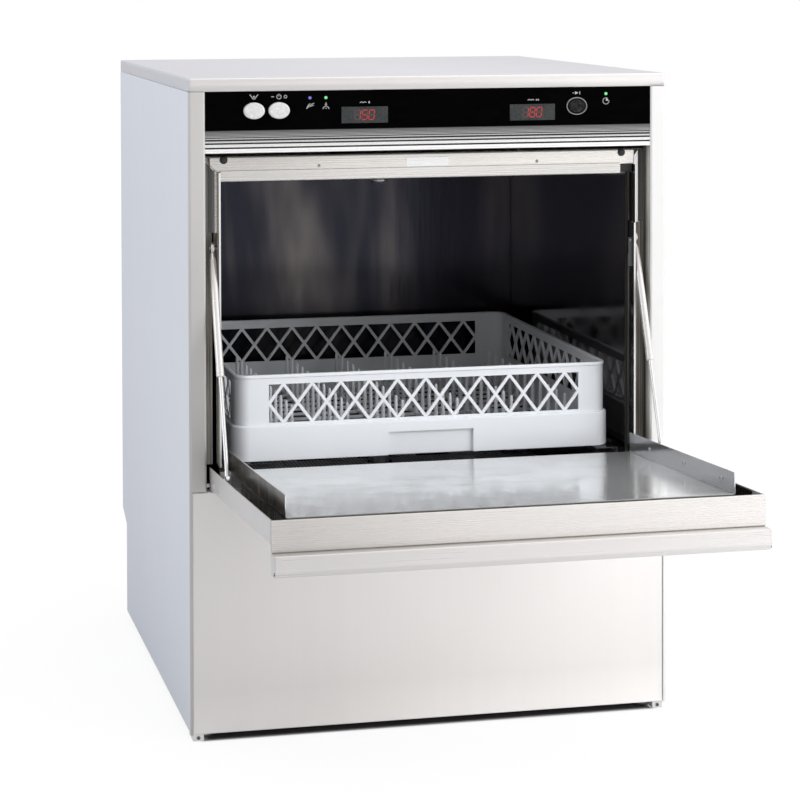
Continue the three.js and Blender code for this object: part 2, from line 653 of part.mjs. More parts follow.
// booster boiler with its screwed-in immersion heater head below
put('rinse_booster', turnZ([
  [0, 250], [20, 250], [22, 253], [22, 284], [28, 286], [28, 300], [30, 300], [42, 308],
  [42, 640], [30, 650], [12, 652], [0, 652],
], [190, 271], 20), FINISH.booster);
put('upper_feed_pipe', pipe([
  [0, 24, 60], [0, 250, 60], [0, 250, 728], [0, ARM_Y, 728], [0, ARM_Y, 704.6],
], { radius: 10, fillet: 14, segments: 12, bendSteps: 4 }), FINISH.hose);
put('inlet_valve', sum(
  rodY(9.5, [230, 288], INLET, 16),
  box([-232, -198], [232, 262], [55, 112])), FINISH.valve);
put('drain_outlet', sum(
  rodY(13, [240, 300], DRAIN, 18),
  rodY(17, [FLANGE_Y, 282], DRAIN, 18)), FINISH.fitting);
put('cable_gland', sum(
  rodY(8, [262, 296], CABLE, 16),
  prismY(oval(CABLE, 14, 14, 6), [FLANGE_Y, 284])), FINISH.fitting);
put('dosing_pump', sum(
  box([-225, -155], [-250, -190], [MACHINERY_Z0, 96]),
  rodY(24, [-266, -250], [-190, 64])), FINISH.dosing);

export default machine;
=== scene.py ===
import math

import bmesh
import bpy
from mathutils import Matrix, Vector


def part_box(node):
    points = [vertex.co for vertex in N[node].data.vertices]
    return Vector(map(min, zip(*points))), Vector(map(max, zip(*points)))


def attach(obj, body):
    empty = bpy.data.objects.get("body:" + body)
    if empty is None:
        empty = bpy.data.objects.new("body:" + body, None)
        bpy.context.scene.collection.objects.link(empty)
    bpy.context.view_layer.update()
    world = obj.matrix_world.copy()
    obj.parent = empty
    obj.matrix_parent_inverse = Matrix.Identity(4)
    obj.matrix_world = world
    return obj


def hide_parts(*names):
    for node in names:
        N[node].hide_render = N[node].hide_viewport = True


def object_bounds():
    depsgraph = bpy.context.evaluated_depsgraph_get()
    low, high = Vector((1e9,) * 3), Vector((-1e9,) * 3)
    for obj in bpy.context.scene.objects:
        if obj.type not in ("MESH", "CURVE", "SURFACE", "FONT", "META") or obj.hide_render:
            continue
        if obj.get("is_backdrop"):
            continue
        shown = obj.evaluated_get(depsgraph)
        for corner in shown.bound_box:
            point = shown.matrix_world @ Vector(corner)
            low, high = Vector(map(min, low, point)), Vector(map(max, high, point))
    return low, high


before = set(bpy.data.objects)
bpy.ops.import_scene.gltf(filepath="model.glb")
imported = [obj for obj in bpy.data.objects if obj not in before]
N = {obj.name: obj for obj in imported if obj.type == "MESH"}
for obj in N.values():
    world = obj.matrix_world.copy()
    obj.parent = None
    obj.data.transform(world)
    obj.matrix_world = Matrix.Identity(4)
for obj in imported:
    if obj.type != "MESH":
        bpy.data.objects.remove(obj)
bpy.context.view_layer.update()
MM = 0.001
CAB = "cabinet"
DOOR = "door"


def bx(node):
    """CAD box of a node in millimetres: x0, x1, y0, y1, z0, z1."""
    a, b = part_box(node)
    return a.x / MM, b.x / MM, a.y / MM, b.y / MM, a.z / MM, b.z / MM


# ------------------------------------------------------------------ materials
def tree(name):
    m = bpy.data.materials.new(name)
    m.use_nodes = True
    nt = m.node_tree
    nt.nodes.clear()
    out = nt.nodes.new("ShaderNodeOutputMaterial")
    b = nt.nodes.new("ShaderNodeBsdfPrincipled")
    nt.links.new(b.outputs[0], out.inputs[0])
    return m, nt, b


def node(nt, kind, **kw):
    n = nt.nodes.new(kind)
    for k, v in kw.items():
        if k in ("inputs",):
            for kk, vv in v.items():
                n.inputs[kk].default_value = vv
        else:
            setattr(n, k, v)
    return n


def coords(nt, scale, rot=(0, 0, 0)):
    tc = node(nt, "ShaderNodeTexCoord")
    mp = node(nt, "ShaderNodeMapping")
    mp.inputs["Scale"].default_value = scale
    mp.inputs["Rotation"].default_value = rot
    nt.links.new(tc.outputs["Object"], mp.inputs["Vector"])
    return mp.outputs[0]


def noise(nt, vec, scale=1.0, detail=4.0, rough=0.55, dist=0.0):
    n = node(nt, "ShaderNodeTexNoise")
    n.inputs["Scale"].default_value = scale
    n.inputs["Detail"].default_value = detail
    n.inputs["Roughness"].default_value = rough
    n.inputs["Distortion"].default_value = dist
    nt.links.new(vec, n.inputs["Vector"])
    return n.outputs["Fac"]


def ranged(nt, fac, a, b, lo=0.3, hi=0.7):
    r = node(nt, "ShaderNodeMapRange")
    r.inputs["From Min"].default_value = lo
    r.inputs["From Max"].default_value = hi
    r.inputs["To Min"].default_value = a
    r.inputs["To Max"].default_value = b
    nt.links.new(fac, r.inputs["Value"])
    return r.outputs[0]


def mixed(nt, fac, a, b):
    m = node(nt, "ShaderNodeMix", data_type="RGBA")
    for k, v in ((6, a), (7, b)):
        if isinstance(v, (tuple, list)):
            m.inputs[k].default_value = (*v[:3], 1)
        else:
            nt.links.new(v, m.inputs[k])
    if isinstance(fac, (int, float)):
        m.inputs[0].default_value = fac
    else:
        nt.links.new(fac, m.inputs[0])
    return m.outputs[2]


def math_(nt, op, a, b=None):
    m = node(nt, "ShaderNodeMath", operation=op)
    for i, v in enumerate((a, b)):
        if v is None:
            continue
        if isinstance(v, (int, float)):
            m.inputs[i].default_value = v
        else:
            nt.links.new(v, m.inputs[i])
    return m.outputs[0]


def bump(nt, b, height, strength=0.2, distance=0.0005, chain=None):
    n = node(nt, "ShaderNodeBump")
    n.inputs["Strength"].default_value = strength
    n.inputs["Distance"].default_value = distance
    nt.links.new(height, n.inputs["Height"])
    if chain is not None:
        nt.links.new(chain, n.inputs["Normal"])
    nt.links.new(n.outputs[0], b.inputs["Normal"])
    return n.outputs[0]


# lightens convex edges by pointiness: partly wear, partly painted edge highlight
def edge_wear_and_highlight(nt, lo=0.52, hi=0.60):
    g = node(nt, "ShaderNodeNewGeometry")
    return ranged(nt, g.outputs["Pointiness"], 0, 1, lo, hi)


def graded(nt, col, painted_grade):
    """Painted light and shade: scales a colour by factors that run along the object's own axes: (axis, from, to, factor
    there, factor there).
    """
    tc_ = node(nt, "ShaderNodeTexCoord")
    sp = node(nt, "ShaderNodeSeparateXYZ")
    nt.links.new(tc_.outputs["Object"], sp.inputs[0])
    for axis, p, q, fp, fq in painted_grade:
        v = node(nt, "ShaderNodeVectorMath", operation="SCALE")
        nt.links.new(col, v.inputs[0])
        nt.links.new(ranged(nt, sp.outputs[axis], fp, fq, p, q), v.inputs["Scale"])
        col = v.outputs[0]
    return col


def brushed(name, color, rough=0.34, metal=0.85, grain="z", fine=0.08, streak=0.035, spec=0.5, tint=None, wave=0.0, painted_grade=(), aniso=0.45):
    """Brushed sheet: fine scratches and soft streaks running along one axis, faint clouding and handling marks, and
    edges lightened partly as wear and partly as painted highlight.
    """
    m, nt, b = tree(name)
    hi, lo = 1400.0, 6.0
    s = {"x": (lo, hi, hi), "y": (hi, lo, hi), "z": (hi, hi, lo)}[grain]
    s2 = {"x": (0.8, 70, 70), "y": (70, 0.8, 70), "z": (70, 70, 0.8)}[grain]
    f = noise(nt, coords(nt, s), 1, 3, 0.6)
    st = noise(nt, coords(nt, s2), 1, 4, 0.6)
    cl = noise(nt, coords(nt, (1, 1, 1)), 5, 3, 0.5, 0.4)
    dark = tuple(c * (1 - streak * 2) for c in color)
    c1 = mixed(nt, ranged(nt, st, 0, 1), dark, color)
    tint = tint or tuple(c * 0.965 for c in color)
    c2 = mixed(nt, ranged(nt, cl, 0, 0.8), c1, tint)
    w = edge_wear_and_highlight(nt)
    c3 = mixed(nt, math_(nt, "MULTIPLY", w, 0.25), c2, tuple(min(1, c * 1.15) for c in color))
    nt.links.new(graded(nt, c3, painted_grade) if painted_grade else c3, b.inputs["Base Color"])
    r = math_(nt, "ADD", ranged(nt, f, rough - fine, rough + fine), ranged(nt, cl, -0.03, 0.03))
    nt.links.new(r, b.inputs["Roughness"])
    b.inputs["Metallic"].default_value = metal
    b.inputs["Specular IOR Level"].default_value = spec
    b.inputs["Anisotropic"].default_value = aniso
    ch = bump(nt, b, f, 0.05, 0.00006)
    if wave:
        bump(nt, b, noise(nt, coords(nt, (1, 1, 1)), 3.0, 1, 0.4), wave, 0.004, ch)
    return m


def mirror(name, color, rough=0.07, metal=1.0, wave=0.12, scale=4.0, smear=0.05, grain=None):
    """Bright annealed sheet: near mirror, slightly wavy, with water spots and wipe smears in the roughness."""
    m, nt, b = tree(name)
    sm = noise(nt, coords(nt, (1, 1, 1)), 9, 5, 0.6, 1.2)
    sp = noise(nt, coords(nt, (1, 1, 1)), 240, 2, 0.5)
    dots = ranged(nt, sp, 0, 1, 0.70, 0.78)
    r = math_(nt, "ADD", ranged(nt, sm, rough * 0.6, rough + smear, 0.35, 0.75), math_(nt, "MULTIPLY", dots, 0.12))
    nt.links.new(r, b.inputs["Roughness"])
    c = mixed(nt, ranged(nt, sm, 0, 1, 0.4, 0.8), color, tuple(x * 0.9 for x in color))
    nt.links.new(c, b.inputs["Base Color"])
    b.inputs["Metallic"].default_value = metal
    big = noise(nt, coords(nt, (1, 1, 1)), scale, 1, 0.3, 0.3)
    bump(nt, b, big, wave, 0.004)
    return m


def plastic(name, color, rough=0.42, grain=0.12, scale=900, sss=0.0, spec=0.45, var=0.04, flow=True, coat=0.0):
    """Moulded plastic: fine spark-eroded grain, slight colour flow, and edges lightened partly as scuffs and partly as
    painted highlight.
    """
    m, nt, b = tree(name)
    g = noise(nt, coords(nt, (1, 1, 1)), scale, 2, 0.6)
    cl = noise(nt, coords(nt, (1, 1, 1)), 14, 4, 0.55, 0.6)
    c = mixed(nt, ranged(nt, cl, 0, 1), tuple(x * (1 - var) for x in color), color)
    w = edge_wear_and_highlight(nt)
    c = mixed(nt, math_(nt, "MULTIPLY", w, 0.3), c, tuple(min(1, x * 1.1 + 0.02) for x in color))
    nt.links.new(c, b.inputs["Base Color"])
    nt.links.new(math_(nt, "ADD", ranged(nt, g, rough - 0.05, rough + 0.05), ranged(nt, cl, -0.04, 0.04)), b.inputs["Roughness"])
    b.inputs["Specular IOR Level"].default_value = spec
    if coat:
        b.inputs["Coat Weight"].default_value = coat
        b.inputs["Coat Roughness"].default_value = 0.12
    if sss:
        b.inputs["Subsurface Weight"].default_value = sss
        b.inputs["Subsurface Radius"].default_value = (1, 0.9, 0.85)
        b.inputs["Subsurface Scale"].default_value = 0.004
    bump(nt, b, g, grain, 0.00015)
    return m


def speckled(name, dark, light, rough=0.4, cover=0.5, scale=1500, spec=0.35):
    """Fine-grained button or window face: even specks of a lighter tone over a darker one."""
    m, nt, b = tree(name)
    g = noise(nt, coords(nt, (1, 1, 1)), scale, 1, 0.4)
    cl = noise(nt, coords(nt, (1, 1, 1)), 60, 2, 0.5)
    f = ranged(nt, math_(nt, "ADD", g, math_(nt, "MULTIPLY", math_(nt, "SUBTRACT", cl, 0.5), 0.2)), 0, 1, cover - 0.1, cover + 0.1)
    nt.links.new(mixed(nt, f, dark, light), b.inputs["Base Color"])
    nt.links.new(ranged(nt, cl, rough - 0.04, rough + 0.04), b.inputs["Roughness"])
    b.inputs["Specular IOR Level"].default_value = spec
    bump(nt, b, g, 0.08, 0.0001)
    return m


def glass_black(name):
    """Black back-printed glass: deep gloss, faint finger smears."""
    m, nt, b = tree(name)
    sm = noise(nt, coords(nt, (1, 1, 2.5)), 22, 5, 0.6, 1.0)
    nt.links.new(mixed(nt, ranged(nt, sm, 0, 1), (0.0006, 0.0006, 0.0007), (0.0014, 0.0014, 0.0016)), b.inputs["Base Color"])
    nt.links.new(ranged(nt, sm, 0.14, 0.24, 0.45, 0.8), b.inputs["Roughness"])
    b.inputs["Specular IOR Level"].default_value = 0.007
    return m


def glow(name, color, strength, base=None, rough=0.3):
    """Lit lamp or display segment: emissive, with a faint mottled diffuser."""
    m, nt, b = tree(name)
    g = noise(nt, coords(nt, (1, 1, 1)), 1600, 2, 0.5)
    c = mixed(nt, ranged(nt, g, 0, 1), color, tuple(min(1, x * 1.2 + 0.03) for x in color))
    nt.links.new(c, b.inputs["Emission Color"])
    nt.links.new(mixed(nt, 0.5, base or color, color), b.inputs["Base Color"])
    b.inputs["Emission Strength"].default_value = strength
    nt.links.new(ranged(nt, g, rough - 0.05, rough + 0.05), b.inputs["Roughness"])
    return m


def ink(name, color):
    """Screen-printed legend ink, very slightly uneven."""
    m, nt, b = tree(name)
    g = noise(nt, coords(nt, (1, 1, 1)), 2500, 2, 0.5)
    nt.links.new(mixed(nt, ranged(nt, g, 0, 1), tuple(x * 0.85 for x in color), color), b.inputs["Base Color"])
    nt.links.new(ranged(nt, g, 0.45, 0.6), b.inputs["Roughness"])
    return m


def streaked(name, dark, light, rough=0.2, metal=0.9, sx=90.0, sz=2.0, lo=0.42, hi=0.62, painted_glow=0.0, painted_grade=()):
    """Bright sheet seen in a narrow recess: long soft dark and light streaks down its height, painted reflections of
    the surroundings, with fine scratches.
    """
    m, nt, b = tree(name)
    a = noise(nt, coords(nt, (sx, sx, sz)), 1, 3, 0.55, 0.3)
    c = noise(nt, coords(nt, (9, 9, 3.4)), 1, 2, 0.5, 0.6)
    f = math_(nt, "MULTIPLY", ranged(nt, a, 0, 1, lo, hi), ranged(nt, c, 0.25, 1.0, 0.35, 0.62))
    col = mixed(nt, f, dark, light)
    col = graded(nt, col, painted_grade) if painted_grade else col
    nt.links.new(col, b.inputs["Base Color"])
    if painted_glow:
        # painted glow: emission stands in for faint stray light carried into the recess by the polished faces
        nt.links.new(col, b.inputs["Emission Color"])
        b.inputs["Emission Strength"].default_value = painted_glow
    b.inputs["Metallic"].default_value = metal
    g = noise(nt, coords(nt, (1400, 1400, 8)), 1, 2, 0.6)
    nt.links.new(ranged(nt, g, rough - 0.05, rough + 0.07), b.inputs["Roughness"])
    bump(nt, b, noise(nt, coords(nt, (40, 40, 5)), 1, 2, 0.5), 0.25, 0.0015)
    return m


# painted light and shade: the left side steel is graded darker towards the foot and a touch brighter near the top; the
# right side takes a darker shaded copy of the same steel, also darker towards the foot
M_SIDE = brushed("m_side_steel", (0.71, 0.735, 0.785), 0.50, 0.40, "z", 0.05, 0.015, painted_grade=((2, 0.0, 0.45, 0.87, 0.985), (2, 0.5, 0.75, 1.0, 1.035)))
M_SIDE_R = brushed("m_side_steel_right", (0.50, 0.512, 0.54), 0.50, 0.40, "z", 0.05, 0.02, painted_grade=((2, 0.0, 0.5, 0.9, 1.0),))
# painted light: the front steel is graded darker towards the left, brighter towards the right and brighter again along
# its foot
M_FRONT = brushed("m_front_steel", (0.715, 0.695, 0.68), 0.36, 0.5, "z", 0.05, 0.012, painted_grade=((0, -0.27, 0.0, 0.94, 1.13), (0, 0.0, 0.25, 1.0, 1.09), (2, 0.0, 0.05, 1.14, 1.0)))
# painted light and shade: the left jamb is graded darker, most towards its foot; the right jamb takes a lighter lit
# copy of the same steel
M_JAMB = brushed("m_jamb_steel", (0.725, 0.705, 0.685), 0.36, 0.5, "z", 0.05, 0.03, painted_grade=((2, 0.34, 0.66, 0.60, 0.78),))
M_JAMB_R = brushed("m_jamb_steel_right", (0.79, 0.785, 0.775), 0.36, 0.5, "z", 0.05, 0.012)
# painted light and shade: the lid top is graded darker towards both ends; its front edge and its sides take separately
# toned copies of its steel, the front edge graded brighter to the right
M_TOP = brushed("m_top_steel", (0.745, 0.735, 0.755), 0.40, 0.5, "x", 0.05, 0.015, painted_grade=((0, -0.3, 0.0, 0.90, 1.0), (0, 0.0, 0.3, 1.0, 0.92)), aniso=0.0)
M_TOP_EDGE = brushed("m_top_edge_steel", (0.70, 0.675, 0.66), 0.36, 0.5, "x", 0.05, 0.02, painted_grade=((0, -0.28, 0.0, 0.94, 1.05), (0, 0.0, 0.25, 1.0, 1.10)))
M_TOP_SIDE = brushed("m_top_side_steel", (0.66, 0.67, 0.69), 0.40, 0.5, "y", 0.05, 0.02)
# painted light: the door band, tray skin and lip are graded darker towards the left and brighter towards the right
M_DOOR = brushed("m_door_steel", (0.645, 0.622, 0.60), 0.30, 0.6, "x", 0.06, 0.012, painted_grade=((0, -0.25, -0.07, 0.84, 1.07), (0, -0.07, 0.24, 1.0, 1.16)))
M_SKIN = brushed("m_door_skin", (0.66, 0.645, 0.635), 0.36, 0.5, "x", 0.05, 0.012, painted_grade=((0, -0.26, 0.0, 0.88, 1.04), (0, 0.0, 0.25, 1.0, 1.08)), aniso=0.0)
M_LIP = brushed("m_lip_steel", (0.685, 0.665, 0.65), 0.32, 0.6, "x", 0.05, 0.012, painted_grade=((0, -0.25, -0.02, 0.87, 1.0), (0, -0.02, 0.24, 1.0, 1.11)))
M_REAR = brushed("m_rear_steel", (0.62, 0.64, 0.67), 0.42, 0.6, "z", 0.06, 0.03)
M_BRIGHT = mirror("m_bright_steel", (0.80, 0.80, 0.80), 0.10, 1.0, 0.10)
# painted light: the header and its step are graded darker towards the left; the header brightens towards the right, the
# step is a little darker at its right end
M_FRAME = brushed("m_frame_steel", (0.74, 0.715, 0.68), 0.28, 0.6, "x", 0.06, 0.02, painted_grade=((0, -0.22, -0.09, 0.85, 1.04), (0, -0.09, 0.18, 1.0, 1.10)))
M_FRAME_LOW = brushed("m_frame_step_steel", (0.76, 0.74, 0.71), 0.28, 0.6, "x", 0.05, 0.015, painted_grade=((0, -0.22, -0.05, 0.85, 1.0), (0, 0.0, 0.17, 1.0, 0.95)))
# painted light and shade: the two frame legs are differently toned copies; the left is a dark shaded copy with faint
# streaks and a painted glow, the right carries painted reflection streaks with a faint painted glow and is graded
# bright at its front edge and dark behind it
M_LEG = streaked("m_frame_leg", (0.20, 0.205, 0.205), (0.33, 0.332, 0.325), 0.4, 0.2, 160, 1.2, painted_glow=0.10)
M_LEG_R = streaked("m_frame_leg_right", (0.10, 0.085, 0.065), (0.95, 0.93, 0.88), 0.28, 0.35, 230, 1.4, 0.36, 0.52, 0.05, ((1, -0.3155, -0.3035, 1.25, 0.30),))
# painted highlight: a lighter steel laid on edges and narrow flats where bright highlight lines fall
M_EDGE_HIGHLIGHT = brushed("m_sheet_edge_highlight", (0.74, 0.74, 0.735), 0.38, 0.4, "z", 0.06, 0.03)
M_STRIKE = brushed("m_strike_steel", (0.86, 0.865, 0.86), 0.28, 0.5, "x", 0.05, 0.03)
# painted shade: the trough steel is near-black brown for the shade inside the trough, with painted reflection mottling
# and a faint painted glow
M_TROUGH = streaked("m_trough_steel", (0.035, 0.03, 0.024), (0.17, 0.15, 0.125), 0.24, 0.7, 30, 30, painted_glow=0.03)
M_WALL = mirror("m_chamber_wall", (0.25, 0.24, 0.245), 0.12, 1.0, 0.10, 3.5, 0.06)
# painted reflection: the chamber rear wall carries dark and light streaks that stand in for the reflections in its
# polished steel
M_REARWALL = streaked("m_chamber_rear", (0.034, 0.034, 0.046), (0.21, 0.19, 0.18), 0.16, 0.95, 9.0, 1.6, 0.46, 0.74)
M_PLATE = mirror("m_door_plate", (0.91, 0.92, 0.92), 0.20, 0.72, 0.04, 3.5, 0.05)
# painted shade: a darker copy of the pan's mirror sheet for the inner faces of its side walls
M_PLATE_SIDE = mirror("m_door_plate_side", (0.42, 0.42, 0.425), 0.20, 0.8, 0.06, 6, 0.06)
# painted reflection: the pocket steel carries dark brown and light streaks that stand in for reflections, and a faint
# painted glow
M_POCKET = streaked("m_pocket_steel", (0.06, 0.05, 0.038), (0.80, 0.76, 0.69), 0.30, 0.3, 170, 2.6, 0.38, 0.58, 0.10)
# painted shade: the trim aluminium is graded darker towards its top
M_TRIM = brushed("m_trim_aluminium", (0.92, 0.915, 0.905), 0.22, 0.75, "x", 0.05, 0.02, painted_grade=((2, 0.7050, 0.7172, 1.0, 0.50),))
M_TRIM_BAND = brushed("m_trim_band", (0.15, 0.15, 0.15), 0.34, 0.6, "x", 0.08, 0.10)
# painted shade: near-black finish for the recessed faces between the trim's ribs
M_GROOVE = plastic("m_trim_groove", (0.012, 0.012, 0.013), 0.5, 0.2)
# painted shade: mid-brown filler for the groove between the door band and the lip
M_SEAM = plastic("m_door_seam", (0.24, 0.215, 0.185), 0.5, 0.1)
M_GLASS = glass_black("m_fascia_glass")
M_BTN = speckled("m_button_white", (0.50, 0.50, 0.495), (0.69, 0.69, 0.682), 0.38, 0.5, 1250)
M_BTN_BLACK = speckled("m_button_black", (0.001, 0.001, 0.001), (0.038, 0.038, 0.038), 0.5, 0.55, 650, 0.10)
M_RING = brushed("m_button_ring", (0.27, 0.27, 0.27), 0.35, 0.6, "x")
M_WINDOW = speckled("m_display_window", (0.014, 0.017, 0.017), (0.044, 0.048, 0.048), 0.32, 0.5, 900, 0.30)
M_SEG = glow("m_segment_lit", (0.46, 0.022, 0.028), 0.17, (0.22, 0.015, 0.015))
M_SEG_OFF = plastic("m_segment_dark", (0.062, 0.036, 0.036), 0.4, 0.05)
M_BLUE = glow("m_lamp_blue", (0.12, 0.13, 0.48), 0.32)
M_GREEN = glow("m_lamp_green", (0.14, 0.55, 0.22), 0.40)
M_INK = ink("m_legend_ink", (0.46, 0.46, 0.46))
M_PCB = plastic("m_circuit_board", (0.02, 0.16, 0.06), 0.35, 0.3, 300, 0, 0.5, 0.3)
M_SEAL = plastic("m_seal_rubber", (0.018, 0.018, 0.019), 0.62, 0.3, 700)
M_ZINC = brushed("m_zinc_steel", (0.55, 0.55, 0.56), 0.38, 0.9, "x", 0.08, 0.05)
def lined(name, z0, z1, dark, light, pitch=1.55):
    """Flat aluminium band cut with fine horizontal lines, with painted shade making it darker towards its top."""
    m, nt, b = tree(name)
    tc_ = node(nt, "ShaderNodeTexCoord")
    sp = node(nt, "ShaderNodeSeparateXYZ")
    nt.links.new(tc_.outputs["Object"], sp.inputs[0])
    g = ranged(nt, sp.outputs[2], 1.0, 0.0, z0 * MM, z1 * MM)
    ph = math_(nt, "FRACT", math_(nt, "MULTIPLY", sp.outputs[2], 1000.0 / pitch))
    ln = ranged(nt, math_(nt, "ABSOLUTE", math_(nt, "SUBTRACT", ph, 0.5)), 0.0, 1.0, 0.12, 0.38)
    base = mixed(nt, g, dark, light)
    nt.links.new(mixed(nt, ln, tuple(c * 0.45 for c in dark), base), b.inputs["Base Color"])
    b.inputs["Metallic"].default_value = 0.55
    f = noise(nt, coords(nt, (6, 1400, 1400)), 1, 3, 0.6)
    nt.links.new(ranged(nt, f, 0.28, 0.42), b.inputs["Roughness"])
    bump(nt, b, ln, 0.5, 0.0003)
    return m


M_BAND = lined("m_trim_band_lines", 718.4, 726.7, (0.14, 0.14, 0.14), (0.46, 0.46, 0.455))
M_STRUT = mirror("m_strut_steel", (0.80, 0.775, 0.76), 0.30, 0.6, 0.03, 20, 0.06)
M_ROD = mirror("m_rod_chrome", (0.86, 0.85, 0.84), 0.18, 0.75, 0.03, 20, 0.04)
M_RACK = plastic("m_rack_plastic", (0.775, 0.80, 0.835), 0.46, 0.10, 700, 0.08, 0.4, 0.025)
M_PUMP = plastic("m_pump_plastic", (0.03, 0.033, 0.038), 0.5, 0.3, 500)
M_MOTOR = brushed("m_motor_can", (0.30, 0.31, 0.33), 0.45, 0.8, "x", 0.08, 0.06)
M_HOSE = plastic("m_hose_rubber", (0.018, 0.018, 0.019), 0.6, 0.35, 420)
M_VALVE = plastic("m_valve_plastic", (0.62, 0.64, 0.66), 0.45, 0.2, 600)
M_PIPE = plastic("m_standpipe_plastic", (0.58, 0.62, 0.66), 0.42, 0.15, 600, 0.1)
M_HEATER = brushed("m_heater_sheath", (0.26, 0.23, 0.20), 0.42, 0.9, "y", 0.1, 0.12)
M_BOILER = brushed("m_boiler_steel", (0.55, 0.55, 0.55), 0.4, 0.9, "z", 0.1, 0.08)
M_FOOT = brushed("m_foot_steel", (0.42, 0.42, 0.43), 0.4, 0.9, "z", 0.08, 0.06)
M_CLEAT = brushed("m_cleat_steel", (0.74, 0.74, 0.735), 0.38, 0.5, "x", 0.05, 0.03)
M_SCREW_DARK = brushed("m_cleat_screw", (0.16, 0.16, 0.16), 0.4, 0.8, "x", 0.05, 0.05)
M_DARK = plastic("m_shadow_gap", (0.01, 0.01, 0.011), 0.6, 0.1)


def perforated(name, color, pitch=5.0, hole=1.7):
    """Filter sheet: a staggered field of small punched holes over bright steel."""
    m, nt, b = tree(name)
    v = coords(nt, (1 / (pitch * MM), 1 / (pitch * MM), 1 / (pitch * MM)))
    sep = node(nt, "ShaderNodeSeparateXYZ")
    nt.links.new(v, sep.inputs[0])
    fx = math_(nt, "SUBTRACT", math_(nt, "FRACT", sep.outputs[0]), 0.5)
    fy = math_(nt, "SUBTRACT", math_(nt, "FRACT", sep.outputs[1]), 0.5)
    d = math_(nt, "SQRT", math_(nt, "ADD", math_(nt, "MULTIPLY", fx, fx), math_(nt, "MULTIPLY", fy, fy)))
    h = ranged(nt, d, 0, 1, hole / pitch - 0.03, hole / pitch + 0.03)
    cl = noise(nt, coords(nt, (1, 1, 1)), 20, 3, 0.5)
    c = mixed(nt, h, (0.01, 0.01, 0.01), mixed(nt, cl, color, tuple(x * 0.85 for x in color)))
    nt.links.new(c, b.inputs["Base Color"])
    nt.links.new(math_(nt, "MULTIPLY", h, 0.9), b.inputs["Metallic"])
    nt.links.new(ranged(nt, cl, 0.22, 0.36), b.inputs["Roughness"])
    bump(nt, b, h, 0.4, 0.0008)
    return m


M_FILTER = perforated("m_filter_sheet", (0.6, 0.6, 0.6))


# ------------------------------------------------------------------ mesh helpers
LIFT = math.radians(3.25)
HINGE = Vector((0, -315, 300)) * MM
RAISE = Matrix.Translation(HINGE) @ Matrix.Rotation(-LIFT, 4, "X") @ Matrix.Translation(-HINGE)


def add(name, bm, mat, body=CAB, angle=32, recalc=True):
    """Links a finished piece. Door pieces are drawn level, then raised about the hinge to where the open door stands."""
    if body == DOOR:
        bmesh.ops.transform(bm, matrix=RAISE, verts=bm.verts)
    if recalc:
        bmesh.ops.recalc_face_normals(bm, faces=bm.faces)
    me = bpy.data.meshes.new(name)
    bm.to_mesh(me)
    bm.free()
    ob = bpy.data.objects.new(name, me)
    bpy.context.scene.collection.objects.link(ob)
    for m in (mat if isinstance(mat, (list, tuple)) else [mat]):
        me.materials.append(m)
    if len(me.polygons):
        me.polygons.foreach_set("use_smooth", [True] * len(me.polygons))
        me.set_sharp_from_angle(angle=math.radians(angle))
        wn_ = ob.modifiers.new("even_faces", "WEIGHTED_NORMAL")
        wn_.keep_sharp = True
        wn_.weight = 90
    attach(ob, body)
    return ob


def place(axis, u, v, w):
    p = {"X": (w, u, v), "Y": (u, w, v), "Z": (u, v, w)}[axis]
    return Vector(p) * MM


def prism(bm, pts, axis, a, b):
    """Closed profile pts run along an axis from a to b. X takes (y, z), Y takes (x, z), Z takes (x, y)."""
    va = [bm.verts.new(place(axis, u, v, a)) for u, v in pts]
    vb = [bm.verts.new(place(axis, u, v, b)) for u, v in pts]
    n = len(pts)
    faces = [bm.faces.new((va[i], va[(i + 1) % n], vb[(i + 1) % n], vb[i])) for i in range(n)]
    faces.append(bm.faces.new(va[::-1]))
    faces.append(bm.faces.new(vb))
    return va + vb, faces


def fillet(pts, r, seg=5, closed=False):
    """Rounds the corners of a polyline. r is one radius or one per corner."""
    n = len(pts)
    out = []
    for i, p in enumerate(pts):
        if not closed and i in (0, n - 1):
            out.append(tuple(p))
            continue
        rr = r[i] if isinstance(r, (list, tuple)) else r
        a, b = Vector(pts[i - 1]), Vector(pts[(i + 1) % n])
        q = Vector(p)
        if rr <= 0:
            out.append(tuple(p))
            continue
        da, db = (a - q), (b - q)
        la, lb = da.length, db.length
        da.normalize()
        db.normalize()
        ang = math.acos(max(-1, min(1, da.dot(db))))
        if ang > math.pi - 0.02:
            out.append(tuple(p))
            continue
        t = min(rr / math.tan(ang / 2), la * 0.49, lb * 0.49)
        rad = t * math.tan(ang / 2)
        c = q + (da + db).normalized() * (rad / math.sin(ang / 2))
        s, e = q + da * t - c, q + db * t - c
        a0 = math.atan2(s.y, s.x)
        a1 = math.atan2(e.y, e.x)
        d = (a1 - a0 + math.pi) % (2 * math.pi) - math.pi
        for k in range(seg + 1):
            th = a0 + d * k / seg
            out.append((c.x + rad * math.cos(th), c.y + rad * math.sin(th)))
    return out


